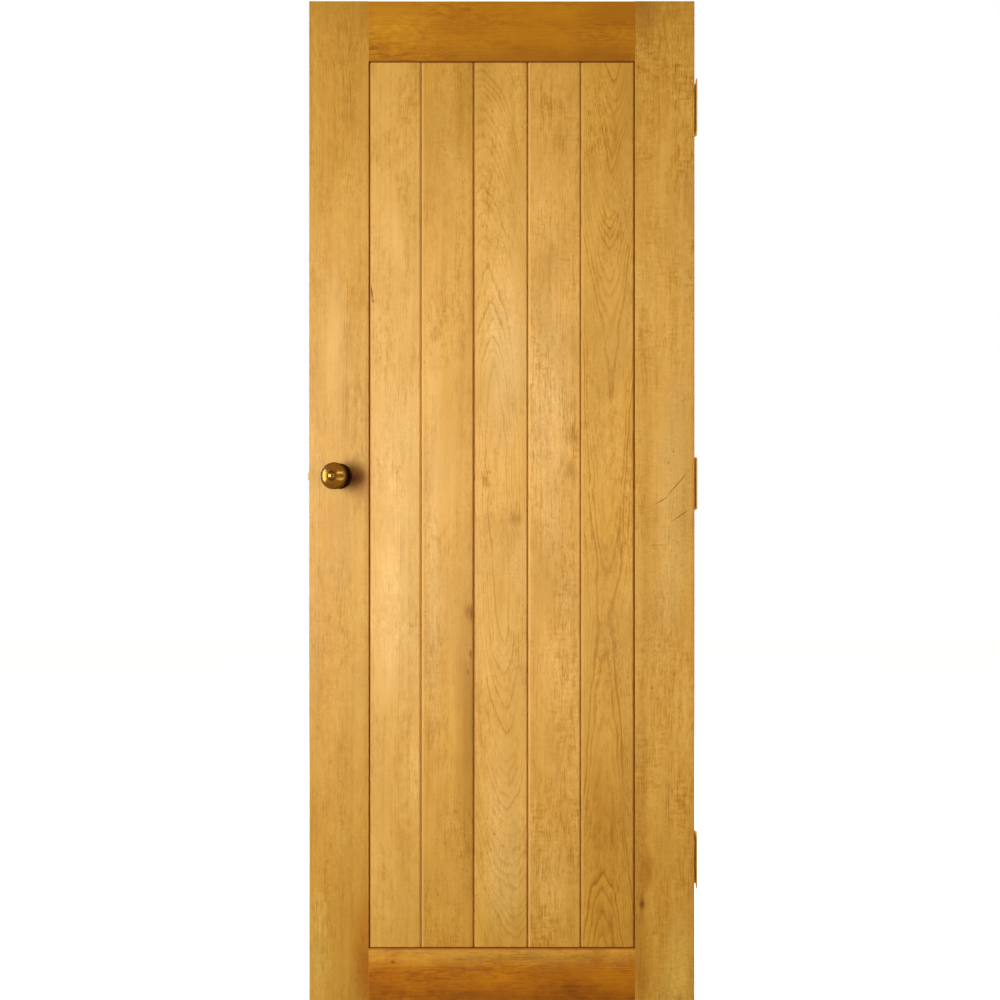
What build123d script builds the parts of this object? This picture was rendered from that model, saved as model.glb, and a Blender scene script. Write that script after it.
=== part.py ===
from build123d import *
import math
import os

# Boarded oak room door: a stile-and-rail frame round five tongued boards with a V at every joint,
# hung on three brass butt hinges and held by a tubular latch that a pair of brass knobs works.
# Millimetres. The origin is the bottom centre of the leaf. X runs from the lock edge to the hinge
# edge, Y from the front face to the back face, and Z is up. The door opens towards +Y.

# Leaf and frame
leaf_width = 762.0
leaf_height = 1981.0
leaf_thickness = 40.0
stile_width = 118.0
top_rail_height = 119.0
bottom_rail_height = 109.0
outer_arris = 1.2  # eased edges round the outside of the leaf
opening_arris = 1.0  # eased edges round the panel opening

# Boards and their joints
board_shares = (0.194, 0.199, 0.204, 0.2, 0.203)  # each board's part of the faces' whole width
board_thickness = 34.0
board_chamfer = 2.6  # one side of the V at a joint
joint_gap = 1.2  # shadow gap between two shoulders, at the foot of the V
tongue_thickness = 12.0
tongue_length = 10.0  # measured from the shoulder
groove_clearance = 0.3  # on each face of a tongue
groove_end_clearance = 1.6  # beyond the end of a tongue

# Haunched mortice and tenon joints
tenon_length = 88.0
tenon_height = 66.0
tenon_set_back = 14.0  # from the rail's inner edge
tenon_clearance = 0.1
tenon_end_clearance = 2.0

# Butt hinges
hinge_length = 102.0
hinge_gap = 3.0  # between the leaf's edge and the jamb
hinge_top_margin = 150.0  # top of the leaf to the top hinge
hinge_bottom_margin = 225.0  # bottom of the leaf to the bottom hinge
hinge_recess_clearance = 0.1
flap_width = 38.0  # free edge to pin axis
flap_thickness = 3.0
pin_projection = 6.0  # pin axis behind the leaf's back face
pin_radius = 3.0
pin_tip_radius = 5.0
pin_tip_height = 2.6
pin_clearance = 0.05
knuckle_count = 5
knuckle_radius = 5.5
knuckle_sweep_clearance = 0.5  # round the other flap's knuckles
knuckle_end_gap = 0.5
washer_thickness = 1.0
washer_radius = 5.3
hinge_far_column = 9.0  # free edge to the far screws
hinge_near_column = 21.0  # free edge to the near screws
hinge_wide_share = 0.75  # of the flap's length, between the two screws nearer its ends
hinge_narrow_share = 0.275  # of the flap's length, between the two screws nearer its middle
hinge_screw_head_radius = 4.2
hinge_screw_shank_radius = 2.3
hinge_screw_length = 32.0

# Countersunk wood screws in general
screw_clearance = 0.1
screw_rim = 0.4  # cylindrical edge of a head
screw_point_length = 5.0
slot_width = 1.0
slot_depth = 1.1

# Knobs
knob_height = 1042.0  # spindle axis above the bottom of the leaf
knob_backset = 60.0  # lock edge to the spindle axis
knob_radius = 26.2
knob_widest_height = 38.0  # widest ring above the leaf's face
knob_front_rise = 19.8  # of the front dome, above the widest ring
knob_back_drop = 15.2  # of the back, below the widest ring
knob_neck_radius = 9.2
knob_neck_start = 1.2
knob_neck_straight = 13.0
knob_flare_radius = 12.5
knob_ring_radius = 9.6  # outer edge of the ring groove round the nipple
knob_ring_depth = 1.8
knob_nipple_radius = 6.2
knob_nipple_height = 4.2  # above the foot of the ring groove
knob_nipple_dome = 2.0

# Roses
rose_radius = 25.2
rose_thickness = 4.0
rose_rim = 1.2
rose_bevel = 3.4
rose_collar_radius = 12.2
rose_collar_height = 8.0
rose_bore_clearance = 0.1
rose_screw_offset = 15.8
rose_screw_head_radius = 3.0
rose_screw_shank_radius = 1.6
rose_screw_length = 16.0

# Spindle and the grub screws that clamp the knobs on it
spindle_side = 8.0
spindle_clearance = 0.06
spindle_reach = 30.0  # beyond each face of the leaf
spindle_end_clearance = 1.0
spindle_hole_radius = 8.6  # in the stile
grub_radius = 2.5
grub_clearance = 0.05
grub_height = 11.0  # above the leaf's face
grub_socket_radius = 1.2
grub_socket_depth = 2.0

# Tubular latch
faceplate_height = 57.0
faceplate_width = 25.0
faceplate_thickness = 3.0
faceplate_clearance = 0.1
latch_screw_spacing = 44.0
latch_screw_head_radius = 3.4
latch_screw_shank_radius = 1.9
latch_screw_length = 22.0
case_length = 80.0
case_wall = 1.0
case_clearance = 0.34  # between the case and what slides in it
case_bore_clearance = 0.1
hub_radius = 7.0
hub_clearance = 0.05
follower_turn_deg = 60.0
arm_radius = 8.8  # hub axis to the middle of the arm's round tip
arm_tip_radius = 1.6
arm_width = 2.8
arm_thickness = 4.0
bolt_width = 11.0  # through the leaf's thickness
bolt_height = 15.0
bolt_nose = 2.0  # flat left at the tip of the bevel
bolt_inside = 16.0  # bolt head behind the leaf's edge
bolt_clearance = 0.2
riser_length = 6.0
tail_width = 8.4
tail_thickness = 2.2
tail_hub_gap = 0.6
tail_end = 3.0  # beyond the window
window_clearance = 0.3
seat_distance = 44.0  # leaf's edge to the spring seat
seat_thickness = 1.5
spring_radius = 4.4
spring_wire_radius = 0.6
spring_turns = 5
spring_drop = 1.5  # below the latch's axis

cut_overrun = 5.0

# Worked out from the values above
lock_edge = -leaf_width / 2
hinge_edge = leaf_width / 2
front_face = -leaf_thickness / 2
back_face = leaf_thickness / 2
panel_left = lock_edge + stile_width
panel_right = hinge_edge - stile_width
panel_low = bottom_rail_height
panel_high = leaf_height - top_rail_height

groove_thickness = tongue_thickness + 2 * groove_clearance
groove_depth = tongue_length - joint_gap + groove_end_clearance
board_count = len(board_shares)
faces_width = panel_right - panel_left - (board_count + 1) * joint_gap

pin_x = hinge_edge + hinge_gap / 2
pin_y = back_face + pin_projection
flap_free_edge = pin_y - flap_width
knuckle_length = (hinge_length - 2 * washer_thickness - 2 * knuckle_end_gap) / knuckle_count
bottom_hinge_z = hinge_bottom_margin
top_hinge_z = leaf_height - hinge_top_margin - hinge_length
hinge_places = {
    "bottom": bottom_hinge_z,
    "middle": (bottom_hinge_z + top_hinge_z) / 2,
    "top": top_hinge_z,
}

knob_x = lock_edge + knob_backset
front_plane = Plane(origin=(knob_x, front_face, knob_height), x_dir=(1, 0, 0), z_dir=(0, -1, 0))
back_plane = Plane(origin=(knob_x, back_face, knob_height), x_dir=(-1, 0, 0), z_dir=(0, 1, 0))
rose_bore_radius = knob_neck_radius + rose_bore_clearance
socket_side = spindle_side + 2 * spindle_clearance

half_turn_deg = follower_turn_deg / 2
bolt_throw = 2 * arm_radius * math.sin(math.radians(half_turn_deg))
tail_low = hub_radius + tail_hub_gap
tail_top = tail_low + tail_thickness
case_inner_radius = math.hypot(tail_top, tail_width / 2) + case_clearance
case_radius = case_inner_radius + case_wall
case_start = lock_edge + faceplate_thickness
hub_half_length = case_radius


def span(middle, size):
    """Limits of a size set evenly about a middle."""
    return (middle - size / 2, middle + size / 2)


def block(x_limits, y_limits, z_limits):
    """Box between two limits on each axis."""
    limits = (x_limits, y_limits, z_limits)
    middles = [(low + high) / 2 for low, high in limits]
    sizes = [high - low for low, high in limits]
    return Pos(*middles) * Box(*sizes)


def rod(start, direction, radius, length):
    """Round bar from a point along a direction."""
    bar = Cylinder(radius, length, align=(Align.CENTER, Align.CENTER, Align.MIN))
    return Plane(origin=start, z_dir=direction) * bar


def turned(outline):
    """Solid turned about Z from an outline of (radius, height)."""
    return Rot(90, 0, 0) * revolve(make_face(outline), axis=Axis.Y)


def outline_of(*points):
    """Closed straight-sided outline."""
    return Polyline(*points, close=True)


def dome_arc(radius, base, rise):
    """Arc of a ball's cap, from its rim to its top on the axis; a negative rise turns it over."""
    ball_radius = (radius**2 + rise**2) / (2 * abs(rise))
    way = math.copysign(1, rise)
    half_angle = math.asin(radius / ball_radius) / 2
    middle = base + rise - way * ball_radius * (1 - math.cos(half_angle))
    return ThreePointArc((radius, base), (ball_radius * math.sin(half_angle), middle), (0, base + rise))


# Frame and boards


def member_outline(width, inner_arris):
    """Section of a stile or rail: x from its outer edge to its grooved inner edge."""
    half = leaf_thickness / 2
    groove_half = groove_thickness / 2
    groove_foot = width - groove_depth
    inner = [(width - inner_arris, half), (width, half - inner_arris)] if inner_arris else [(width, half)]
    groove = [(width, groove_half), (groove_foot, groove_half)]
    upper = [(0, half - outer_arris), (outer_arris, half), *inner, *groove]
    lower = [(x, -y) for x, y in reversed(upper)]
    return outline_of(*upper, *lower)


def opening_arris_cut(face_y, inward):
    """Wedge that eases one arris of the lock stile along the panel opening only."""
    points = [
        (panel_left, face_y),
        (panel_left - opening_arris, face_y),
        (panel_left, face_y + inward * opening_arris),
    ]
    wedge = extrude(make_face(outline_of(*points)), amount=panel_high - panel_low)
    return Pos(0, 0, panel_low) * wedge


def make_stile():
    """Left-hand stile, grooved its whole height and morticed for both rails."""
    stile = extrude(make_face(member_outline(stile_width, 0)), amount=leaf_height)
    stile = Pos(lock_edge, 0, 0) * stile
    depth = tenon_length + tenon_end_clearance
    for near, away in ((panel_high, 1), (panel_low, -1)):
        middle = near + away * (tenon_set_back + tenon_height / 2)
        stile -= block(
            (panel_left - depth, panel_left + cut_overrun),
            span(0, tongue_thickness + 2 * tenon_clearance),
            span(middle, tenon_height + 2 * tenon_clearance),
        )
    stile -= opening_arris_cut(front_face, 1)
    stile -= opening_arris_cut(back_face, -1)
    return stile


def make_rail(outer_z, inner_z):
    """Rail between the stiles with a haunched tenon on each end."""
    inward = 1 if inner_z > outer_z else -1
    profile_plane = Plane(origin=(panel_left, 0, outer_z), x_dir=(0, 0, inward), z_dir=(1, 0, 0))
    profile = make_face(member_outline(abs(inner_z - outer_z), opening_arris))
    rail = extrude(profile_plane * profile, amount=panel_right - panel_left)
    haunch_length = groove_depth - tenon_clearance
    haunch_z = sorted((outer_z, inner_z - inward * groove_depth))
    tenon_middle = inner_z - inward * (tenon_set_back + tenon_height / 2)
    haunch_x = (panel_left - haunch_length, panel_right + haunch_length)
    rail += block(haunch_x, span(0, tongue_thickness), haunch_z)
    rail += block(
        (panel_left - tenon_length, panel_right + tenon_length),
        span(0, tongue_thickness),
        span(tenon_middle, tenon_height),
    )
    return rail


def edge_points(tongued):
    """Half of a board's edge, from the face to the middle, as (reach past the shoulder, y)."""
    half = board_thickness / 2
    if tongued:
        joint = [(0, tongue_thickness / 2), (tongue_length, tongue_thickness / 2)]
    else:
        joint = [(0, groove_thickness / 2), (-groove_depth, groove_thickness / 2)]
    return [(-board_chamfer, half), (0, half - board_chamfer), *joint]


def make_board(index):
    """Board with a tongue on its right, a groove on its left and a tongue on each end."""
    left = panel_left + (index + 1) * joint_gap + sum(board_shares[:index]) * faces_width
    right = left + board_shares[index] * faces_width
    first = index == 0
    upper_right = [(right + reach, y) for reach, y in edge_points(True)]
    upper_left = [(left - reach, y) for reach, y in edge_points(first)]
    lower_right = [(x, -y) for x, y in reversed(upper_right)]
    lower_left = [(x, -y) for x, y in reversed(upper_left)]
    outline = outline_of(*upper_right, *lower_right, *reversed(lower_left), *reversed(upper_left))
    low = panel_low + joint_gap
    high = panel_high - joint_gap
    board = Pos(0, 0, low) * extrude(make_face(outline), amount=high - low)
    side_inset = 0 if first else groove_depth
    board += block(
        (left + side_inset, right),
        span(0, tongue_thickness),
        (low - tongue_length, high + tongue_length),
    )
    return board


# Screws


def screw_blank(head_radius, shank_radius, length, allowance, head_overrun):
    """Countersunk screw pointing down from its head at Z 0, or the hole that takes it."""
    head = head_radius + allowance
    shank = shank_radius + allowance
    cone_foot = -screw_rim - (head_radius - shank_radius)
    point = -length - allowance
    return turned(
        outline_of(
            (0, head_overrun),
            (head, head_overrun),
            (head, -screw_rim),
            (shank, cone_foot),
            (shank, point + screw_point_length),
            (0, point),
        )
    )


def wood_screw(head_radius, shank_radius, length):
    """Slotted countersunk wood screw."""
    screw = screw_blank(head_radius, shank_radius, length, 0, 0)
    slot = block(
        span(0, 2 * head_radius + cut_overrun),
        span(0, slot_width),
        (-slot_depth, cut_overrun),
    )
    return screw - slot


def screw_hole(head_radius, shank_radius, length):
    """Hole and countersink for a wood screw."""
    return screw_blank(head_radius, shank_radius, length, screw_clearance, cut_overrun)


def hinge_screw_places(hinge_z, x, outward):
    """Planes at the heads of one flap's four screws, staggered so that no two heads meet in a shut hinge."""
    middle = hinge_z + hinge_length / 2
    door_shares = (hinge_narrow_share, hinge_wide_share)
    shares = door_shares if outward > 0 else door_shares[::-1]
    places = []
    for column, share in zip((hinge_far_column, hinge_near_column), shares):
        for side in (-1, 1):
            origin = (x, flap_free_edge + column, middle + side * share * hinge_length / 2)
            places.append(Plane(origin=origin, x_dir=(0, 0, 1), z_dir=(outward, 0, 0)))
    return places


hinge_screw_sizes = (hinge_screw_head_radius, hinge_screw_shank_radius, hinge_screw_length)
latch_screw_sizes = (latch_screw_head_radius, latch_screw_shank_radius, latch_screw_length)
rose_screw_sizes = (rose_screw_head_radius, rose_screw_shank_radius, rose_screw_length)
latch_screw_places = [
    Plane(
        origin=(lock_edge, 0, knob_height + side * latch_screw_spacing / 2),
        x_dir=(0, 0, 1),
        z_dir=(-1, 0, 0),
    )
    for side in (-1, 1)
]
rose_screw_places = [Pos(0, side * rose_screw_offset, rose_thickness) for side in (-1, 1)]


# Hinges


def knuckle(low_share_count, washers, gaps):
    """Height at which a knuckle starts, from the pieces stacked below it."""
    return low_share_count * knuckle_length + washers * washer_thickness + gaps * knuckle_end_gap


jamb_knuckles = (knuckle(0, 0, 0), knuckle(2, 1, 1), knuckle(4, 2, 2))
door_knuckles = (knuckle(1, 1, 0), knuckle(3, 2, 1))
washer_places = (knuckle(1, 0, 0), knuckle(3, 1, 1))


def make_flap(hinge_z, x_limits, knuckles, other_knuckles, screws):
    """Hinge flap: plate, rolled knuckles, and countersunk holes for its screws."""
    flap = block(x_limits, (flap_free_edge, pin_y), (hinge_z, hinge_z + hinge_length))
    for start in other_knuckles:
        low = 0 if start == 0 else start - knuckle_end_gap - washer_thickness
        high = start + knuckle_length + knuckle_end_gap + washer_thickness
        flap -= rod(
            (pin_x, pin_y, hinge_z + low),
            (0, 0, 1),
            knuckle_radius + knuckle_sweep_clearance,
            high - low,
        )
    for start in knuckles:
        flap += rod((pin_x, pin_y, hinge_z + start), (0, 0, 1), knuckle_radius, knuckle_length)
    flap -= rod(
        (pin_x, pin_y, hinge_z - cut_overrun),
        (0, 0, 1),
        pin_radius + pin_clearance,
        hinge_length + 2 * cut_overrun,
    )
    for place in screws:
        flap -= place * screw_hole(*hinge_screw_sizes)
    return flap


def make_door_flap(hinge_z):
    """Flap let into the stile's edge."""
    x_limits = (hinge_edge - flap_thickness, hinge_edge)
    screws = hinge_screw_places(hinge_z, hinge_edge, 1)
    return make_flap(hinge_z, x_limits, door_knuckles, jamb_knuckles, screws)


def make_jamb_flap(hinge_z):
    """Flap that is screwed to whatever the door hangs on."""
    inner = hinge_edge + hinge_gap
    x_limits = (inner, inner + flap_thickness)
    screws = hinge_screw_places(hinge_z, inner, -1)
    return make_flap(hinge_z, x_limits, jamb_knuckles, door_knuckles, screws)


def make_pin(hinge_z):
    """Hinge pin with a domed tip on each end."""
    outline = [
        dome_arc(pin_tip_radius, 0, -pin_tip_height),
        Polyline(
            (pin_tip_radius, 0),
            (pin_radius, 0),
            (pin_radius, hinge_length),
            (pin_tip_radius, hinge_length),
        ),
        dome_arc(pin_tip_radius, hinge_length, pin_tip_height),
        Line((0, hinge_length + pin_tip_height), (0, -pin_tip_height)),
    ]
    return Pos(pin_x, pin_y, hinge_z) * turned(outline)


def make_washers(hinge_z):
    """Two steel washers that carry the door's knuckles."""
    bore = pin_radius + 2 * pin_clearance
    ring = rod((0, 0, 0), (0, 0, 1), washer_radius, washer_thickness)
    ring -= rod((0, 0, -cut_overrun), (0, 0, 1), bore, washer_thickness + 2 * cut_overrun)
    return [Pos(pin_x, pin_y, hinge_z + start) * ring for start in washer_places]


# Knob set, in a frame with Z out of the leaf's face and Y up


def make_knob():
    """Turned knob: neck, flattened ball, and a nipple in a ring groove, bored square for the spindle."""
    back_angle = math.degrees(math.acos(knob_flare_radius / knob_radius))
    front_angle = math.degrees(math.acos(knob_ring_radius / knob_radius))
    flare_height = knob_widest_height - knob_back_drop * math.sin(math.radians(back_angle))
    ring_top = knob_widest_height + knob_front_rise * math.sin(math.radians(front_angle))
    ring_foot = ring_top - knob_ring_depth
    nipple_shoulder = ring_foot + knob_nipple_height - knob_nipple_dome
    ring_middle = (knob_ring_radius + knob_nipple_radius) / 2
    widest = (0, knob_widest_height)
    outline = [
        Polyline(
            (0, knob_neck_start),
            (knob_neck_radius, knob_neck_start),
            (knob_neck_radius, knob_neck_straight),
        ),
        TangentArc((knob_neck_radius, knob_neck_straight), (knob_flare_radius, flare_height), tangent=(0, 1)),
        EllipticalCenterArc(widest, knob_radius, knob_back_drop, -back_angle, arc_size=back_angle),
        EllipticalCenterArc(widest, knob_radius, knob_front_rise, 0, arc_size=front_angle),
        ThreePointArc((knob_ring_radius, ring_top), (ring_middle, ring_foot), (knob_nipple_radius, ring_top)),
        Line((knob_nipple_radius, ring_top), (knob_nipple_radius, nipple_shoulder)),
        dome_arc(knob_nipple_radius, nipple_shoulder, knob_nipple_dome),
        Line((0, nipple_shoulder + knob_nipple_dome), (0, knob_neck_start)),
    ]
    knob = turned(outline)
    socket_end = spindle_reach + spindle_end_clearance
    knob -= block(span(0, socket_side), span(0, socket_side), (knob_neck_start - cut_overrun, socket_end))
    knob -= rod((0, 0, grub_height), (0, -1, 0), grub_radius + grub_clearance, knob_neck_radius + cut_overrun)
    return knob


def make_grub_screw():
    """Grub screw between the spindle and the neck's surface, with a drive hole."""
    start = spindle_side / 2
    length = knob_neck_radius - start
    screw = rod((0, -start, grub_height), (0, -1, 0), grub_radius, length)
    drive = rod((0, -knob_neck_radius - cut_overrun, grub_height), (0, 1, 0), grub_socket_radius,
                grub_socket_depth + cut_overrun)
    return screw - drive


def make_rose():
    """Round rose with a rounded rim, a collar for the knob's neck, and two screw holes."""
    bevel_start = rose_radius - rose_bevel
    outline = [
        Polyline((rose_bore_radius, 0), (rose_radius, 0), (rose_radius, rose_rim)),
        EllipticalCenterArc((bevel_start, rose_rim), rose_bevel, rose_thickness - rose_rim, 0, arc_size=90),
        Polyline(
            (bevel_start, rose_thickness),
            (rose_collar_radius, rose_thickness),
            (rose_collar_radius, rose_collar_height),
            (rose_bore_radius, rose_collar_height),
            (rose_bore_radius, 0),
        ),
    ]
    rose = turned(outline)
    for place in rose_screw_places:
        rose -= place * screw_hole(*rose_screw_sizes)
    return rose


def make_spindle():
    """Square bar through the leaf and into both knobs."""
    return block(
        span(knob_x, spindle_side),
        (front_face - spindle_reach, back_face + spindle_reach),
        span(knob_height, spindle_side),
    )


# Tubular latch


def make_case():
    """Latch tube with a closed end, a spring seat and bearing holes for the follower's hub."""
    axis = (1, 0, 0)
    case = rod((case_start, 0, knob_height), axis, case_radius, case_length)
    case -= rod(
        (case_start - cut_overrun, 0, knob_height),
        axis,
        case_inner_radius,
        case_length - case_wall + cut_overrun,
    )
    seat = rod((lock_edge + seat_distance, 0, knob_height), axis, case_inner_radius, seat_thickness)
    seat -= block(
        (lock_edge + seat_distance - cut_overrun, lock_edge + seat_distance + seat_thickness + cut_overrun),
        span(0, tail_width + 2 * case_clearance),
        (knob_height + tail_low - case_clearance, knob_height + case_radius + cut_overrun),
    )
    case += seat
    case -= rod(
        (knob_x, -case_radius - cut_overrun, knob_height),
        (0, 1, 0),
        hub_radius + hub_clearance,
        2 * (case_radius + cut_overrun),
    )
    return case


def make_faceplate():
    """Plate let into the leaf's edge, with a window for the bolt and two screw holes."""
    plate = block(
        (lock_edge, lock_edge + faceplate_thickness),
        span(0, faceplate_width),
        span(knob_height, faceplate_height),
    )
    plate -= block(
        (lock_edge - cut_overrun, lock_edge + faceplate_thickness + cut_overrun),
        span(0, bolt_width + 2 * bolt_clearance),
        span(knob_height, bolt_height + 2 * bolt_clearance),
    )
    for place in latch_screw_places:
        plate -= place * screw_hole(*latch_screw_sizes)
    return plate


def arm_limits():
    """How far the resting arm's tip lies from the hub's axis along X, near and far side."""
    middle = -bolt_throw / 2
    return (middle - arm_tip_radius - window_clearance, middle + arm_tip_radius + window_clearance)


def make_bolt():
    """Bolt head with its bevel to the front, and a tail strip with a window for the follower's arm."""
    half = bolt_width / 2
    tip = lock_edge - bolt_throw
    back = lock_edge + bolt_inside
    nose = ((lock_edge, -half), (tip, half - bolt_nose), (tip, half))
    head = make_face(outline_of((back, -half), *nose, (back, half)))
    bolt = Pos(0, 0, knob_height - bolt_height / 2) * extrude(head, amount=bolt_height)
    window_near, window_far = (knob_x + limit for limit in arm_limits())
    tail_y = span(0, tail_width)
    tail_z = (knob_height + tail_low, knob_height + tail_top)
    bolt += block((back - riser_length, back), tail_y, (knob_height, knob_height + tail_top))
    bolt += block((back - riser_length, window_far + tail_end), tail_y, tail_z)
    bolt -= block(
        (window_near, window_far),
        span(0, arm_thickness + 2 * window_clearance),
        (knob_height + tail_low - cut_overrun, knob_height + tail_top + cut_overrun),
    )
    return bolt


def make_follower():
    """Hub with the spindle's square hole, and a round-tipped arm that leans towards the bolt at rest."""
    hub = rod((0, -hub_half_length, 0), (0, 1, 0), hub_radius, 2 * hub_half_length)
    arm = block(span(0, arm_width), span(0, arm_thickness), (0, arm_radius))
    arm += rod((0, -arm_thickness / 2, arm_radius), (0, 1, 0), arm_tip_radius, arm_thickness)
    follower = hub + Rot(0, -half_turn_deg, 0) * arm
    follower -= block(
        span(0, socket_side),
        span(0, 2 * hub_half_length + cut_overrun),
        span(0, socket_side),
    )
    return Pos(knob_x, 0, knob_height) * follower


def make_spring():
    """Coil spring between the bolt's head and the spring seat."""
    start = lock_edge + bolt_inside + spring_wire_radius
    length = seat_distance - bolt_inside - 2 * spring_wire_radius
    coil = Helix(pitch=length / spring_turns, height=length, radius=spring_radius)
    section = Plane(origin=coil @ 0, z_dir=coil % 0) * Circle(spring_wire_radius)
    spring = sweep(section, path=coil, is_frenet=True)
    return Plane(origin=(start, 0, knob_height - spring_drop), z_dir=(1, 0, 0)) * spring


# Stiles with everything that is let into them


def make_lock_stile():
    """Left stile, bored for the latch and the spindle."""
    stile = make_stile()
    stile -= rod(
        (lock_edge - cut_overrun, 0, knob_height),
        (1, 0, 0),
        case_radius + case_bore_clearance,
        faceplate_thickness + case_length + case_bore_clearance + cut_overrun,
    )
    stile -= block(
        (lock_edge - cut_overrun, lock_edge + faceplate_thickness),
        span(0, faceplate_width + 2 * faceplate_clearance),
        span(knob_height, faceplate_height + 2 * faceplate_clearance),
    )
    stile -= rod(
        (knob_x, front_face - cut_overrun, knob_height),
        (0, 1, 0),
        spindle_hole_radius,
        leaf_thickness + 2 * cut_overrun,
    )
    for place in latch_screw_places:
        stile -= place * screw_hole(*latch_screw_sizes)
    for plane in (front_plane, back_plane):
        for place in rose_screw_places:
            stile -= plane * (place * screw_hole(*rose_screw_sizes))
    return stile


def make_hinge_stile():
    """Right stile, let in for the three door flaps."""
    stile = mirror(make_stile(), about=Plane.YZ)
    for hinge_z in hinge_places.values():
        stile -= block(
            (hinge_edge - flap_thickness, hinge_edge + cut_overrun),
            (flap_free_edge - hinge_recess_clearance, back_face + cut_overrun),
            (hinge_z - hinge_recess_clearance, hinge_z + hinge_length + hinge_recess_clearance),
        )
        for place in hinge_screw_places(hinge_z, hinge_edge, 1):
            stile -= place * screw_hole(*hinge_screw_sizes)
    return stile


def make_pieces():
    """Every piece of the door by name; a list is a group of like pieces."""
    pieces = {
        "lock_stile": make_lock_stile(),
        "hinge_stile": make_hinge_stile(),
        "top_rail": make_rail(leaf_height, panel_high),
        "bottom_rail": make_rail(0, panel_low),
    }
    for index in range(board_count):
        pieces[f"board_{index + 1}"] = make_board(index)
    hinge_screw = wood_screw(*hinge_screw_sizes)
    pieces["hinge_screws"] = []
    for name, hinge_z in hinge_places.items():
        pieces[f"{name}_hinge_door_flap"] = make_door_flap(hinge_z)
        pieces[f"{name}_hinge_jamb_flap"] = make_jamb_flap(hinge_z)
        pieces[f"{name}_hinge_pin"] = make_pin(hinge_z)
        pieces[f"{name}_hinge_washers"] = make_washers(hinge_z)
        places = hinge_screw_places(hinge_z, hinge_edge, 1)
        pieces["hinge_screws"] += [place * hinge_screw for place in places]
    rose_screw = wood_screw(*rose_screw_sizes)
    knob, rose, grub = make_knob(), make_rose(), make_grub_screw()
    pieces["grub_screws"] = []
    for side, plane in (("front", front_plane), ("back", back_plane)):
        pieces[f"{side}_knob"] = plane * knob
        pieces[f"{side}_rose"] = plane * rose
        pieces[f"{side}_rose_screws"] = [plane * (place * rose_screw) for place in rose_screw_places]
        pieces["grub_screws"].append(plane * grub)
    pieces["spindle"] = make_spindle()
    pieces["latch_case"] = make_case()
    pieces["latch_faceplate"] = make_faceplate()
    pieces["latch_bolt"] = make_bolt()
    pieces["latch_follower"] = make_follower()
    pieces["latch_spring"] = make_spring()
    latch_screw = wood_screw(*latch_screw_sizes)
    pieces["latch_screws"] = [place * latch_screw for place in latch_screw_places]
    return pieces


os.makedirs("parts", exist_ok=True)
for piece_name, piece in make_pieces().items():
    solid = Compound(children=piece) if isinstance(piece, list) else piece
    export_step(solid, f"parts/{piece_name}.step")
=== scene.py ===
"""Boarded oak door on its hinges, with its brass knobs and latch, dressed and lit as photographed.

Sizes are in metres in the door's own frame: X runs from the lock edge to the hinge edge, Y from the
front face to the back face, and Z up from the bottom of the leaf.
"""

from __future__ import annotations

import functools
import logging
import math
from collections.abc import Callable
from dataclasses import dataclass, field
from enum import Enum
from typing import Any

import bpy
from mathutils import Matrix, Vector

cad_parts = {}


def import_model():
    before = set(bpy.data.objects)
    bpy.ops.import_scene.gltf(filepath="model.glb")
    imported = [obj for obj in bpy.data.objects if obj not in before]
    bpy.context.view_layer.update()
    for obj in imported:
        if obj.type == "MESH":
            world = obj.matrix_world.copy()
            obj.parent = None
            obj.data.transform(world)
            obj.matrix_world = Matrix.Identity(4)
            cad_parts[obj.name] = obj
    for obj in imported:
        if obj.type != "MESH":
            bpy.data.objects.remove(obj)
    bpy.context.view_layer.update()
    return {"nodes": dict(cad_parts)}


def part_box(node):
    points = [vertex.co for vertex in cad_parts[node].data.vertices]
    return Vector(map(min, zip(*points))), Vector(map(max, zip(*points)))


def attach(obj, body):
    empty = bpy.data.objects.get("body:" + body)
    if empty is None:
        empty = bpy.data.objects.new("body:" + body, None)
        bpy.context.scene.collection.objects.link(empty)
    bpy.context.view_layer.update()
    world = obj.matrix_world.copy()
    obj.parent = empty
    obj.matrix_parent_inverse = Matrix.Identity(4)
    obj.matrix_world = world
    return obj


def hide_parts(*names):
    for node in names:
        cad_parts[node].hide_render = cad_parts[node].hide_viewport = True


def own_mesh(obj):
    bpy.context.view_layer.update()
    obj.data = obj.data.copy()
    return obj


LOG = logging.getLogger("oak_door")
MM = 0.001
WHITE = (1.0, 1.0, 1.0, 1.0)
LUMINANCE = (0.2126, 0.7152, 0.0722)

Point = tuple[float, float, float]
Material = bpy.types.Material
Piece = bpy.types.Object
Socket = bpy.types.NodeSocket
Sockets = bpy.types.bpy_prop_collection
Tree = bpy.types.NodeTree
AddNode = Callable[..., Socket]


def linear(hex_colour: str) -> tuple[float, float, float, float]:
    """Turn an sRGB hex colour into linear RGBA.

    Args:
        hex_colour: Colour as "#RRGGBB".

    Returns:
        Linear red, green and blue, with an alpha of 1.
    """
    channels = [int(hex_colour[i : i + 2], 16) / 255 for i in (1, 3, 5)]
    red, green, blue = (c / 12.92 if c <= 0.04045 else ((c + 0.055) / 1.055) ** 2.4 for c in channels)
    return (red, green, blue, 1.0)


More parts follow.
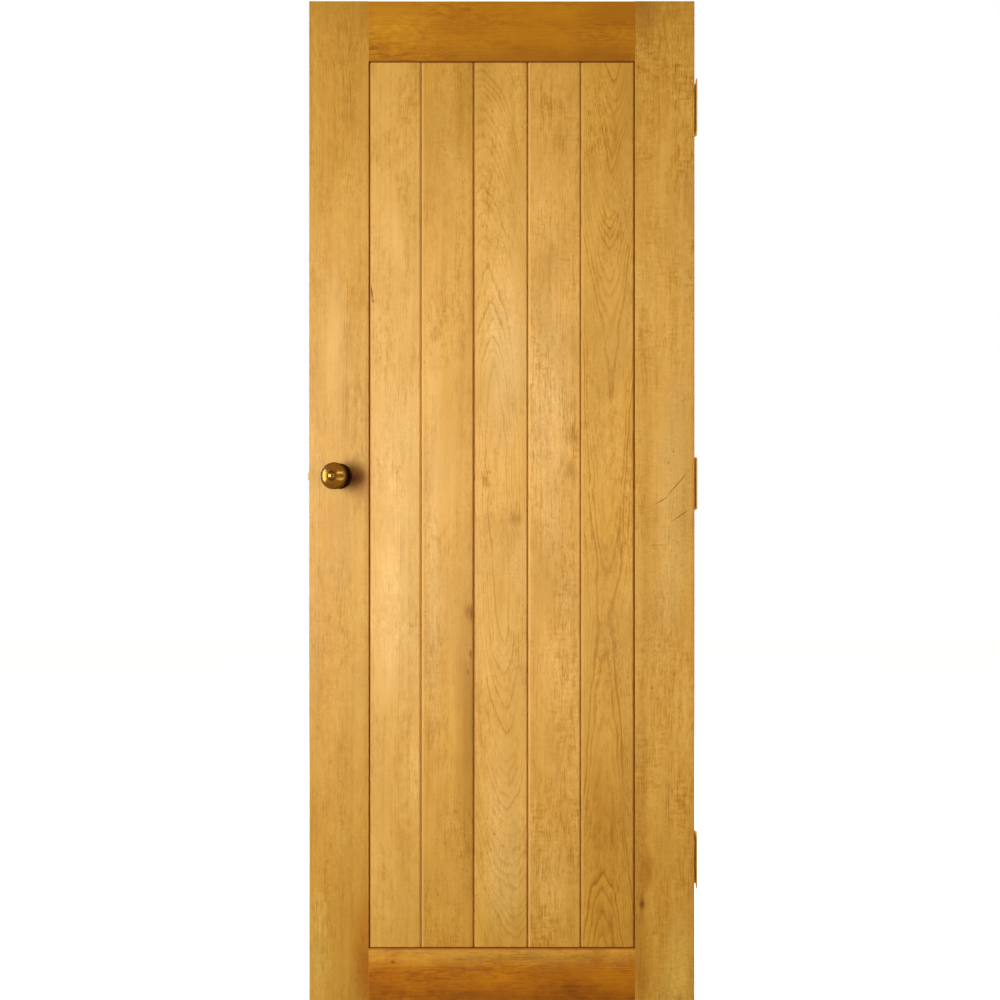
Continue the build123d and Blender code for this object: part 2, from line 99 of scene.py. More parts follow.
def add_node(
    tree: Tree,
    kind: str,
    inputs: dict[int | str, Any] | None = None,
    out: int | str = 0,
    **settings: Any,
) -> Socket:
    """Add a node, set it up and link it.

    Args:
        tree: Tree that takes the node.
        kind: Node type.
        inputs: Value, socket or list of sockets for each input, by name or index.
        out: Output to return, by name or index.
        **settings: Properties of the node itself.

    Returns:
        The chosen output socket; its node is at hand as ``.node``.
    """
    node = tree.nodes.new(kind)
    for name, value in settings.items():
        setattr(node, name, value)
    for key, value in (inputs or {}).items():
        sources = value if isinstance(value, list) else [value]
        if isinstance(sources[0], Socket):
            for source in sources:
                tree.links.new(source, node.inputs[key])
        else:
            node.inputs[key].default_value = value
    return node.outputs[out] if len(node.outputs) else node.inputs[0]


def set_stops(socket: Socket, stops: list[tuple[float, tuple[float, ...]]]) -> Socket:
    """Give a colour ramp its stops.

    Args:
        socket: Output of the ramp.
        stops: Place and linear colour of each stop, in order.

    Returns:
        The same output.
    """
    elements = socket.node.color_ramp.elements
    while len(elements) < len(stops):
        elements.new(1.0)
    for element, (place, colour) in zip(elements, stops):
        element.position = place
        element.color = colour
    return socket


def new_material(name: str) -> Material:
    """Make an empty node material.

    Args:
        name: Name of the real material.

    Returns:
        The material, with no nodes in its tree.
    """
    material = bpy.data.materials.new(name)
    material.use_nodes = True
    material.node_tree.nodes.clear()
    return material


def grow(
    name: str, points: list[Vector], tree: Tree, sizes: dict[str, float | int], smooth_deg: float
) -> Piece:
    """Run a node tree over points and keep what it makes as a plain mesh.

    Args:
        name: Name of the piece.
        points: Where the tree puts things.
        tree: The node tree.
        sizes: Values of its named inputs.
        smooth_deg: Edges sharper than this stay sharp.

    Returns:
        The piece, at the origin.
    """
    mesh = bpy.data.meshes.new(name)
    mesh.from_pydata(points, [], [])
    piece = bpy.data.objects.new(name, mesh)
    bpy.context.scene.collection.objects.link(piece)
    modifier = piece.modifiers.new("tree", "NODES")
    modifier.node_group = tree
    for socket in tree.interface.items_tree:
        if socket.in_out == "INPUT" and socket.name in sizes:
            modifier[socket.identifier] = sizes[socket.name]
    depsgraph = bpy.context.evaluated_depsgraph_get()
    piece.data = bpy.data.meshes.new_from_object(piece.evaluated_get(depsgraph))
    piece.modifiers.clear()
    piece.data.name = name
    for face in piece.data.polygons:
        face.use_smooth = True
    piece.data.set_sharp_from_angle(angle=math.radians(smooth_deg))
    LOG.info("%s: %d faces", name, len(piece.data.polygons))
    return piece


def new_tree(name: str, sizes: dict[str, float | int]) -> Tree:
    """Make an empty geometry tree with an input for each size.

    Args:
        name: Name of the piece that it makes.
        sizes: Names of the inputs, and values of their kind.

    Returns:
        The tree, with geometry in and out.
    """
    tree = bpy.data.node_groups.new(f"{name}_tree", "GeometryNodeTree")
    tree.interface.new_socket("Geometry", in_out="INPUT", socket_type="NodeSocketGeometry")
    for label, value in sizes.items():
        kind = "NodeSocketInt" if isinstance(value, int) else "NodeSocketFloat"
        tree.interface.new_socket(label, in_out="INPUT", socket_type=kind)
    tree.interface.new_socket("Geometry", in_out="OUTPUT", socket_type="NodeSocketGeometry")
    return tree


def wound_bar(
    add: AddNode, radius: Socket, turns: Socket | float, height: Socket, steps: int, bar: Socket, sides: int
) -> Socket:
    """Wind a bar upwards round the Z axis.

    Args:
        add: Adds a node to the tree.
        radius: Radius of the winding.
        turns: Number of its turns.
        height: Its height.
        steps: Steps in each turn.
        bar: Radius of the bar.
        sides: Sides of the bar.

    Returns:
        The closed bar.
    """
    winding = {"Rotations": turns, "Start Radius": radius, "End Radius": radius, "Height": height}
    helix = add("GeometryNodeCurveSpiral", {"Resolution": steps, **winding})
    section = add("GeometryNodeCurvePrimitiveCircle", {"Resolution": sides, "Radius": bar})
    return add("GeometryNodeCurveToMesh", {"Curve": helix, "Profile Curve": section, "Fill Caps": True})


def spread(add: AddNode, given: Sockets, shape: Socket, material: Material, **turn: Socket) -> None:
    """End a geometry tree: put a shape on every point, make it real and dress it.

    Args:
        add: Adds a node to the tree.
        given: The tree's inputs.
        shape: What goes on the points.
        material: Its finish.
        **turn: ``Rotation`` of the shape, where it is turned.
    """
    placed = {"Points": given["Geometry"], "Instance": shape, **turn}
    placed = add("GeometryNodeInstanceOnPoints", placed)
    whole = add("GeometryNodeRealizeInstances", {0: placed})
    dressed = add("GeometryNodeSetMaterial", {"Geometry": whole, "Material": material})
    add("NodeGroupOutput", {0: dressed})


def dress(piece: Piece, material: Material) -> None:
    """Give every slot of a piece one material.

    Args:
        piece: The piece.
        material: Its finish.
    """
    if not piece.material_slots:
        piece.data.materials.append(material)
    for slot in piece.material_slots:
        slot.material = material
    LOG.info("%s: %s", piece.name, material.name)


class Grain(Enum):
    """Which way the fibres of a piece run."""

    UPRIGHT = "upright"
    LYING = "lying"


class Facing(Enum):
    """Which way the heads of a group of screws look, as the turn that takes +Z there."""

    FRONT = (math.pi / 2, 0.0, 0.0)
    BACK = (-math.pi / 2, 0.0, 0.0)
    HINGE_EDGE = (0.0, math.pi / 2, 0.0)
    LOCK_EDGE = (0.0, -math.pi / 2, 0.0)


@dataclass(frozen=True)
class OakTone:
    """Colours of one piece of varnished oak, from pale latewood to the finish pooled in the joints."""

    pale: str
    body: str
    dark: str
    tint: str = "#C99A48"
    pore: str = "#8E5C1A"
    joint: str = "#B4641E"


@dataclass(frozen=True)
class Mark:
    """Knot, stain, streak, lighter or darker patch, or painted shadow on a face, as a soft ragged ellipse,
    with places and sizes in millimetres.

    ``swirl`` is how many growth rings are pushed aside around it.
    """

    x: float
    z: float
    half_width: float
    half_height: float
    strength: float
    colour: str
    turn_deg: float = 0.0
    swirl: float = 0.0


@dataclass(frozen=True)
class OakCut:
    """How one piece was sawn from its log, and what its face shows.

    The pith is the log's centre line. ``pith_across`` and ``pith_depth`` place it from the middle of the
    piece and behind its front face, ``crest`` is where along the piece it lies deepest, and ``bend`` and
    ``lean`` curve and slope it. Together they give straight grain or cathedrals, and ``peak`` sharpens
    the tips of the cathedrals. ``joint_side`` is the edge that meets the panel, ``pooled`` how far the
    finish has gathered along it, and the other values are the strengths of the patterns.
    """

    node: str
    tone: OakTone
    seed: float
    grain: Grain = Grain.UPRIGHT
    joint_side: int = 0
    pith_across: float = -0.45
    pith_depth: float = 0.12
    crest: float = 0.0
    bend: float = 0.0
    lean: float = 0.01
    peak: float = 0.0
    ring_width: float = 3.2 * MM
    ring: float = 0.22
    streak: float = 0.55
    band: float = 0.28
    mottle: float = 0.60
    patch: float = 0.60
    ripple: float = 0.25
    tint: float = 0.5
    pores: float = 0.22
    fleck: float = 0.0
    # painted shade: how strongly the colour darkens towards the top and bottom of the leaf
    end_dimming: float = 0.9
    pooled: float = 0.9 * MM
    stain: float = 0.75
    # pale wear on the arrises, and the strength of the painted highlight along each board's left edge
    wear_and_highlight: float = 0.8
    marks: tuple[Mark, ...] = ()


@dataclass
class OakFinish:
    """Oak under satin varnish: growth rings cut as sawn, open pores, soft clouding and a low sheen.

    The rings are distances from the log's pith in three dimensions, so faces, edges and ends agree.
    Each ``_size`` is the size of a pattern's patches across and along the grain, and each ``_cut`` the
    levels of its noise between which it sets in.
    """

    cut: OakCut
    warp: float = 24 * MM
    warp_size: tuple[float, float] = (110 * MM, 420 * MM)
    pore_size: tuple[float, float] = (1.3 * MM, 7 * MM)  # wider than real pores, so that they show
    streak_size: tuple[float, float] = (2.6 * MM, 32 * MM)
    band_size: tuple[float, float] = (12 * MM, 320 * MM)
    mottle_size: tuple[float, float] = (9 * MM, 22 * MM)
    patch_size: tuple[float, float] = (45 * MM, 150 * MM)
    tint_size: tuple[float, float] = (90 * MM, 260 * MM)
    ripple_size: tuple[float, float] = (24 * MM, 7 * MM)
    curl_size: tuple[float, float] = (60 * MM, 90 * MM)
    fleck_size: tuple[float, float] = (9 * MM, 4 * MM)
    rag_size: tuple[float, float] = (20 * MM, 60 * MM)
    lively_size: tuple[float, float] = (60 * MM, 190 * MM)
    lively_range: tuple[float, float] = (0.35, 1.50)
    lively_cut: tuple[float, float] = (0.34, 0.66)
    curl_cut: tuple[float, float] = (0.42, 0.62)
    pore_cut: tuple[float, float] = (0.52, 0.72)
    fleck_cut: tuple[float, float] = (0.57, 0.70)
    tint_cut: tuple[float, float] = (0.42, 0.68)
    tone_places: tuple[float, float, float] = (0.15, 0.5, 0.85)
    ring_profile: tuple[tuple[float, float], ...] = ((0.0, 0.0), (0.22, 1.0), (0.5, 0.35), (1.0, 0.0))
    ring_middle: float = 0.25
    ring_pores: float = 0.25
    ring_rag: float = 1.1
    spells_per_metre: float = 55.0
    year_sway: float = 2.4
    faintest_year: float = 0.15
    seed_steps: tuple[float, float, float] = (3.1, 1.7, 5.3)
    mark_rag: float = 0.7
    mark_edge: float = 1.35
    swirl_reach: float = 2.6
    end_slopes: tuple[float, float] = (0.7, 0.95)
    end_stain: float = 0.6
    joint_depths: tuple[float, float] = (1.3 * MM, 3.0 * MM)
    arris_depth: float = 0.9 * MM
    # painted highlight: where the pale band along a board's left edge rises, peaks and ends
    highlight_edge: tuple[float, float, float] = (1.4 * MM, 3.0 * MM, 6.0 * MM)
    panel_edge: tuple[float, float] = (0.6 * MM, 3.4 * MM)
    # painted shade: where the darkening towards the leaf's ends starts and ends, the colour that it
    # multiplies by, and the height where it is nil
    end_dimming_reach: tuple[float, float] = (0.40, 0.95)
    end_dimming_colour: tuple[float, float, float, float] = (0.93, 0.87, 0.52, 1.0)
    brightest_z: float = 1.06
    roughness: float = 0.50
    sheen_spread: float = 0.16
    pore_dip: float = 0.6
    relief: float = 0.12
    relief_depth: float = 0.4 * MM
    specular: float = 0.32
    ior: float = 1.5
    add: AddNode = field(init=False)

    def material(self) -> Material:
        """Build the finish for this piece.

        Returns:
            The finished material.
        """
        material = new_material(f"varnished_oak_{self.cut.node}")
        self.add = functools.partial(add_node, material.node_tree)
        self._place()
        self._rings()
        self._fibres()
        self._wood()
        self._marks()
        self._dim_towards_ends()
        self._end_grain()
        self._joints_and_lit_edge()
        self._surface()
        return material

    def _place(self) -> None:
        """Find the place across, along and in the depth of the piece, plain and swaying as it grew."""
        add = self.add
        low, high = (Vector(corner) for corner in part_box(self.cut.node))
        size = high - low
        lying = self.cut.grain is Grain.LYING
        self.spot = add("ShaderNodeTexCoord", out="Object")
        local = add("ShaderNodeVectorMath", {0: self.spot, 1: (low + high) / 2}, operation="SUBTRACT")
        split = add("ShaderNodeSeparateXYZ", {0: local}).node.outputs
        self.across = split["Z"] if lying else split["X"]
        self.along = split["X"] if lying else split["Z"]
        self.depth = split["Y"]
        self.half_depth = size.y / 2
        self.half_across = (size.z if lying else size.x) / 2
        piece = add("ShaderNodeCombineXYZ", {0: self.across, 1: self.depth, 2: self.along})
        seed = tuple(self.cut.seed * step for step in self.seed_steps)
        self.seeded = add("ShaderNodeVectorMath", {0: piece, 1: seed}, operation="ADD")
        sway = self._noise(self.warp_size, detail=3.0, out=1)
        even = add("ShaderNodeVectorMath", {0: sway, 1: (0.5, 0.5, 0.5)}, operation="SUBTRACT")
        shift = {0: even, 1: (self.warp, self.warp, 0.0), 2: self.seeded}
        self.seeded = add("ShaderNodeVectorMath", shift, operation="MULTIPLY_ADD")
        grown = add("ShaderNodeVectorMath", {0: self.seeded, 1: seed}, operation="SUBTRACT")
        self.grown = add("ShaderNodeSeparateXYZ", {0: grown}).node.outputs

    def _noise(
        self, size: tuple[float, float], detail: float = 2.0, roughness: float = 0.55, out: int = 0
    ) -> Socket:
        """Noise stretched along the grain.

        Args:
            size: Size of its patches across and along the grain.
            detail: Finer layers added to it.
            roughness: Weight of those layers.
            out: 0 for one value, 1 for three.

        Returns:
            The noise, about 0.5.
        """
        stretch = (1 / size[0], 1 / size[0], 1 / size[1])
        vector = self.add("ShaderNodeVectorMath", {0: self.seeded, 1: stretch}, operation="MULTIPLY")
        inputs = {"Vector": vector, "Scale": 1.0, "Detail": detail, "Roughness": roughness}
        return self.add("ShaderNodeTexNoise", inputs, out=out)

    def _mark_distance(self, mark: Mark) -> Socket:
        """Distance from a mark's middle, as a share of its half sizes, with a ragged edge.

        Args:
            mark: The knot or stain.

        Returns:
            About 0.35 at its middle and 1.35 on its edge.
        """
        add = self.add
        middle = (mark.x * MM, 0.0, mark.z * MM)
        turn = math.radians(mark.turn_deg)
        scale = (1 / (mark.half_width * MM), 0.0, 1 / (mark.half_height * MM))
        local = add("ShaderNodeVectorMath", {0: self.spot, 1: middle}, operation="SUBTRACT")
        turned = add("ShaderNodeVectorRotate", {"Vector": local, "Angle": turn}, rotation_type="Y_AXIS")
        scaled = add("ShaderNodeVectorMath", {0: turned, 1: scale}, operation="MULTIPLY")
        length = add("ShaderNodeVectorMath", {0: scaled}, out="Value", operation="LENGTH")
        ragged = self._noise((mark.half_width * MM, mark.half_height * MM))
        return add("ShaderNodeMath", {0: ragged, 1: self.mark_rag, 2: length}, operation="MULTIPLY_ADD")

    def _rings(self) -> None:
        """Growth rings about the log's pith, with uneven years and ragged lines."""
        cut, add = self.cut, self.add
        across, depth, along = (self.grown[axis] for axis in "XYZ")
        pith = add("ShaderNodeMath", {0: along, 1: cut.lean, 2: cut.pith_across}, operation="MULTIPLY_ADD")
        off_across = add("ShaderNodeMath", {0: across, 1: pith}, operation="SUBTRACT")
        from_crest = add("ShaderNodeMath", {0: along, 1: cut.crest}, operation="SUBTRACT")
        squared = add("ShaderNodeMath", {0: from_crest, 1: from_crest}, operation="MULTIPLY")
        deep = {0: squared, 1: -cut.bend, 2: cut.pith_depth - self.half_depth}
        pith_depth = add("ShaderNodeMath", deep, operation="MULTIPLY_ADD")
        off_depth = add("ShaderNodeMath", {0: depth, 1: pith_depth}, operation="SUBTRACT")
        radial = add("ShaderNodeCombineXYZ", {0: off_across, 1: off_depth})
        radius = add("ShaderNodeVectorMath", {0: radial}, out="Value", operation="LENGTH")
        side = add("ShaderNodeMath", {0: off_across}, operation="ABSOLUTE")
        radius = add("ShaderNodeMath", {0: side, 1: cut.peak, 2: radius}, operation="MULTIPLY_ADD")
        count = add("ShaderNodeMath", {0: radius, 1: 1 / cut.ring_width}, operation="MULTIPLY")
        for mark in cut.marks:
            if mark.swirl:
                push = {0: self._mark_distance(mark), 1: self.swirl_reach, 2: 0.0, 3: 0.0, 4: mark.swirl}
                pushed = add("ShaderNodeMapRange", push, interpolation_type="SMOOTHSTEP")
                count = add("ShaderNodeMath", {0: count, 1: pushed}, operation="ADD")
        years = {"W": radius, "Scale": self.spells_per_metre, "Detail": 1.0}
        years = add("ShaderNodeTexNoise", years, noise_dimensions="1D")
        count = add("ShaderNodeMath", {0: years, 1: self.year_sway, 2: count}, operation="MULTIPLY_ADD")
        ragged = self._noise(self.rag_size, detail=3.0)
        phase = add("ShaderNodeMath", {0: ragged, 1: self.ring_rag, 2: count}, operation="MULTIPLY_ADD")
        part = add("ShaderNodeMath", {0: phase}, operation="FRACT")
        year = add("ShaderNodeMath", {0: phase}, operation="FLOOR")
        chance = add("ShaderNodeTexWhiteNoise", {"W": year}, noise_dimensions="1D")
        strength = add("ShaderNodeMapRange", {0: chance, 1: 0.0, 2: 1.0, 3: self.faintest_year, 4: 1.0})
        shape = add("ShaderNodeValToRGB", {0: part})
        set_stops(shape, [(place, (value, value, value, 1.0)) for place, value in self.ring_profile])
        self.rings = add("ShaderNodeMath", {0: shape, 1: strength}, operation="MULTIPLY")

    def _fibres(self) -> None:
        """Streaks, bands, pores, clouding, curl and ray fleck, and where the figure is quiet."""
        add = self.add
        self.streaks = self._noise(self.streak_size, detail=4.0, roughness=0.6)
        self.bands = self._noise(self.band_size)
        self.mottle = self._noise(self.mottle_size, detail=4.0, roughness=0.65)
        self.patches = self._noise(self.patch_size)
        self.tints = self._noise(self.tint_size)
        figure = self._noise(self.lively_size)
        (start, end), (quiet, lively) = self.lively_cut, self.lively_range
        self.lively = add("ShaderNodeMapRange", {0: figure, 1: start, 2: end, 3: quiet, 4: lively})
        sizes = (self.curl_size, self.pore_size, self.fleck_size)
        cuts = (self.curl_cut, self.pore_cut, self.fleck_cut)
        curled, self.pores, self.flecks = (
            add("ShaderNodeMapRange", {0: self._noise(size, detail=1.0), 1: start, 2: end, 3: 0.0, 4: 1.0})
            for size, (start, end) in zip(sizes, cuts)
        )
        even = add("ShaderNodeMath", {0: self._noise(self.ripple_size), 1: 0.5}, operation="SUBTRACT")
        self.ripple = add("ShaderNodeMath", {0: even, 1: curled, 2: 0.5}, operation="MULTIPLY_ADD")

    def _wood(self) -> None:
        """Mix the patterns into the colour of the wood."""
        cut, tone, add = self.cut, self.cut.tone, self.add
        base = {0: self.rings, 1: cut.ring, 2: 0.5 - self.ring_middle * cut.ring}
        shade = add("ShaderNodeMath", base, operation="MULTIPLY_ADD")
        weights = (
            (self.streaks, cut.streak, True),
            (self.bands, cut.band, False),
            (self.mottle, cut.mottle, True),
            (self.patches, cut.patch, False),
            (self.ripple, cut.ripple, True),
        )
        for pattern, weight, quietens in weights:
            even = add("ShaderNodeMath", {0: pattern, 1: 0.5}, operation="SUBTRACT")
            if quietens:
                even = add("ShaderNodeMath", {0: even, 1: self.lively}, operation="MULTIPLY")
            shade = add("ShaderNodeMath", {0: even, 1: weight, 2: shade}, operation="MULTIPLY_ADD")
        ramp = add("ShaderNodeValToRGB", {0: shade})
        shades = [linear(value) for value in (tone.pale, tone.body, tone.dark)]
        colour = set_stops(ramp, list(zip(self.tone_places, shades)))
        start, end = self.tint_cut
        olive = add("ShaderNodeMapRange", {0: self.tints, 1: start, 2: end, 3: 0.0, 4: cut.tint})
        colour = add("ShaderNodeMixRGB", {0: olive, 1: colour, 2: linear(tone.tint)})
        in_ring = {0: self.rings, 1: self.ring_pores, 2: cut.pores}
        in_ring = add("ShaderNodeMath", in_ring, operation="MULTIPLY_ADD")
        open_pores = add("ShaderNodeMath", {0: self.pores, 1: in_ring}, operation="MULTIPLY")
        open_pores = add("ShaderNodeMath", {0: open_pores, 1: self.lively}, operation="MULTIPLY")
        colour = add("ShaderNodeMixRGB", {0: open_pores, 1: colour, 2: linear(tone.pore)})
        if cut.fleck:
            shine = add("ShaderNodeMath", {0: self.flecks, 1: cut.fleck}, operation="MULTIPLY")
            colour = add("ShaderNodeMixRGB", {0: shine, 1: colour, 2: linear(tone.pale)})
        self.colour = colour

    def _marks(self) -> None:
        """Lay the knots, stains, streaks, patches and the knob's painted shadow over the wood, with its
        grain still showing through them.
        """
        add = self.add
        body = linear(self.cut.tone.body)
        light = sum(share * channel for share, channel in zip(LUMINANCE, body))
        grain = add("ShaderNodeRGBToBW", {0: self.colour})
        grain = add("ShaderNodeMath", {0: grain, 1: 1 / light}, operation="MULTIPLY")
        edge, core = self.mark_edge, self.mark_edge - 1.0
        for mark in self.cut.marks:
            fade = {0: self._mark_distance(mark), 1: edge, 2: core, 3: 0.0, 4: mark.strength}
            near = add("ShaderNodeMapRange", fade, interpolation_type="SMOOTHSTEP")
            stained = {0: 1.0, 1: linear(mark.colour), 2: grain}
            stained = add("ShaderNodeMixRGB", stained, blend_type="MULTIPLY")
            self.colour = add("ShaderNodeMixRGB", {0: near, 1: self.colour, 2: stained})

    def _dim_towards_ends(self) -> None:
        """Paint shade: darken and warm the colour towards the top and bottom of the leaf, away from the
        height where the lamps light it most.
        """
        add = self.add
        height = add("ShaderNodeSeparateXYZ", {0: self.spot}, out="Z")
        away = add("ShaderNodeMath", {0: height, 1: self.brightest_z}, operation="SUBTRACT")
        away = add("ShaderNodeMath", {0: away}, operation="ABSOLUTE")
        start, end = self.end_dimming_reach
        deep = add("ShaderNodeMapRange", {0: away, 1: start, 2: end, 3: 0.0, 4: self.cut.end_dimming})
        dimmed = {0: deep, 1: self.colour, 2: self.end_dimming_colour}
        self.colour = add("ShaderNodeMixRGB", dimmed, blend_type="MULTIPLY")

    def _end_grain(self) -> None:
        """Darken the sawn ends of upright pieces, where the open pores drink the finish."""
        add = self.add
        if self.cut.grain is Grain.LYING:
            return
        normal = add("ShaderNodeNewGeometry", out="Normal")
        upward = add("ShaderNodeSeparateXYZ", {0: normal}, out="Z")
        upward = add("ShaderNodeMath", {0: upward}, operation="ABSOLUTE")
        start, end = self.end_slopes
        ends = add("ShaderNodeMapRange", {0: upward, 1: start, 2: end, 3: 0.0, 4: self.end_stain})
        self.colour = add("ShaderNodeMixRGB", {0: ends, 1: self.colour, 2: linear(self.cut.tone.pore)})

    def _joints_and_lit_edge(self) -> None:
        """Darken the finish that pooled down the Vs and along the panel, rub the arrises pale, and paint a
        highlight along the left edge of each board, the side that faces the light.
        """
        add, cut, tone = self.add, self.cut, self.cut.tone
        if cut.joint_side:
            inputs = {0: self.across, 1: -cut.joint_side, 2: self.half_across}
            reach = add("ShaderNodeMath", inputs, operation="MULTIPLY_ADD")
            stain = add("ShaderNodeMapRange", {0: reach, 1: cut.pooled, 2: 0.0, 3: 0.0, 4: cut.stain})
            self.colour = add("ShaderNodeMixRGB", {0: stain, 1: self.colour, 2: linear(tone.joint)})
            return
        depth = add("ShaderNodeMath", {0: self.depth}, operation="ABSOLUTE")
        sunk = add("ShaderNodeMath", {0: self.half_depth, 1: depth}, operation="SUBTRACT")
        rubbed_and_lit = {0: sunk, 1: 0.0, 2: self.arris_depth / 2, 3: 0.0, 4: cut.wear_and_highlight / 2}
        rubbed_and_lit = add("ShaderNodeMapRange", rubbed_and_lit)
        # painted highlight: a pale band along each board's left edge, the side that faces the light
        from_edge = add("ShaderNodeMath", {0: self.across, 1: self.half_across}, operation="ADD")
        outer, middle, inner = self.highlight_edge
        rise = add("ShaderNodeMapRange", {0: from_edge, 1: outer, 2: middle, 3: 0.0, 4: cut.wear_and_highlight})
        fall = add("ShaderNodeMapRange", {0: from_edge, 1: inner, 2: middle, 3: 0.0, 4: 1.0})
        wear_and_highlight = add("ShaderNodeMath", {0: rise, 1: fall}, operation="MULTIPLY")
        rubbed_and_lit = add("ShaderNodeMath", {0: rubbed_and_lit, 1: wear_and_highlight}, operation="MAXIMUM")
        colour = add("ShaderNodeMixRGB", {0: rubbed_and_lit, 1: self.colour, 2: linear(tone.pale)})
        start, end = self.joint_depths
        stain = add("ShaderNodeMapRange", {0: sunk, 1: start, 2: end, 3: 0.0, 4: cut.stain})
        height = add("ShaderNodeSeparateXYZ", {0: self.spot}, out="Z")
        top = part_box("top_rail")[0][2]
        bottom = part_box("bottom_rail")[1][2]
        above = add("ShaderNodeMath", {0: height, 1: (top + bottom) / 2}, operation="SUBTRACT")
        above = add("ShaderNodeMath", {0: above}, operation="ABSOLUTE")
        below_rail = add("ShaderNodeMath", {0: (top - bottom) / 2, 1: above}, operation="SUBTRACT")
        near, far = self.panel_edge
        ends = add("ShaderNodeMapRange", {0: below_rail, 1: far, 2: near, 3: 0.0, 4: cut.stain})
        stain = add("ShaderNodeMath", {0: stain, 1: ends}, operation="MAXIMUM")
        self.colour = add("ShaderNodeMixRGB", {0: stain, 1: colour, 2: linear(tone.joint)})

    def _surface(self) -> None:
        """Add the varnish: sheen broken by the fibres, and pores that dip into the wood."""
        add = self.add
        sheen = {0: self.streaks, 1: self.sheen_spread, 2: self.roughness - self.sheen_spread / 2}
        rough = add("ShaderNodeMath", sheen, operation="MULTIPLY_ADD")
        height = {0: self.pores, 1: -self.pore_dip, 2: self.streaks}
        height = add("ShaderNodeMath", height, operation="MULTIPLY_ADD")
        dips = {"Strength": self.relief, "Distance": self.relief_depth, "Height": height}
        varnish = {
            "Base Color": self.colour,
            "Roughness": rough,
            "Normal": add("ShaderNodeBump", dips),
            "Specular IOR Level": self.specular,
            "IOR": self.ior,
        }
        shader = add("ShaderNodeBsdfPrincipled", varnish)
        add("ShaderNodeOutputMaterial", {"Surface": shader})


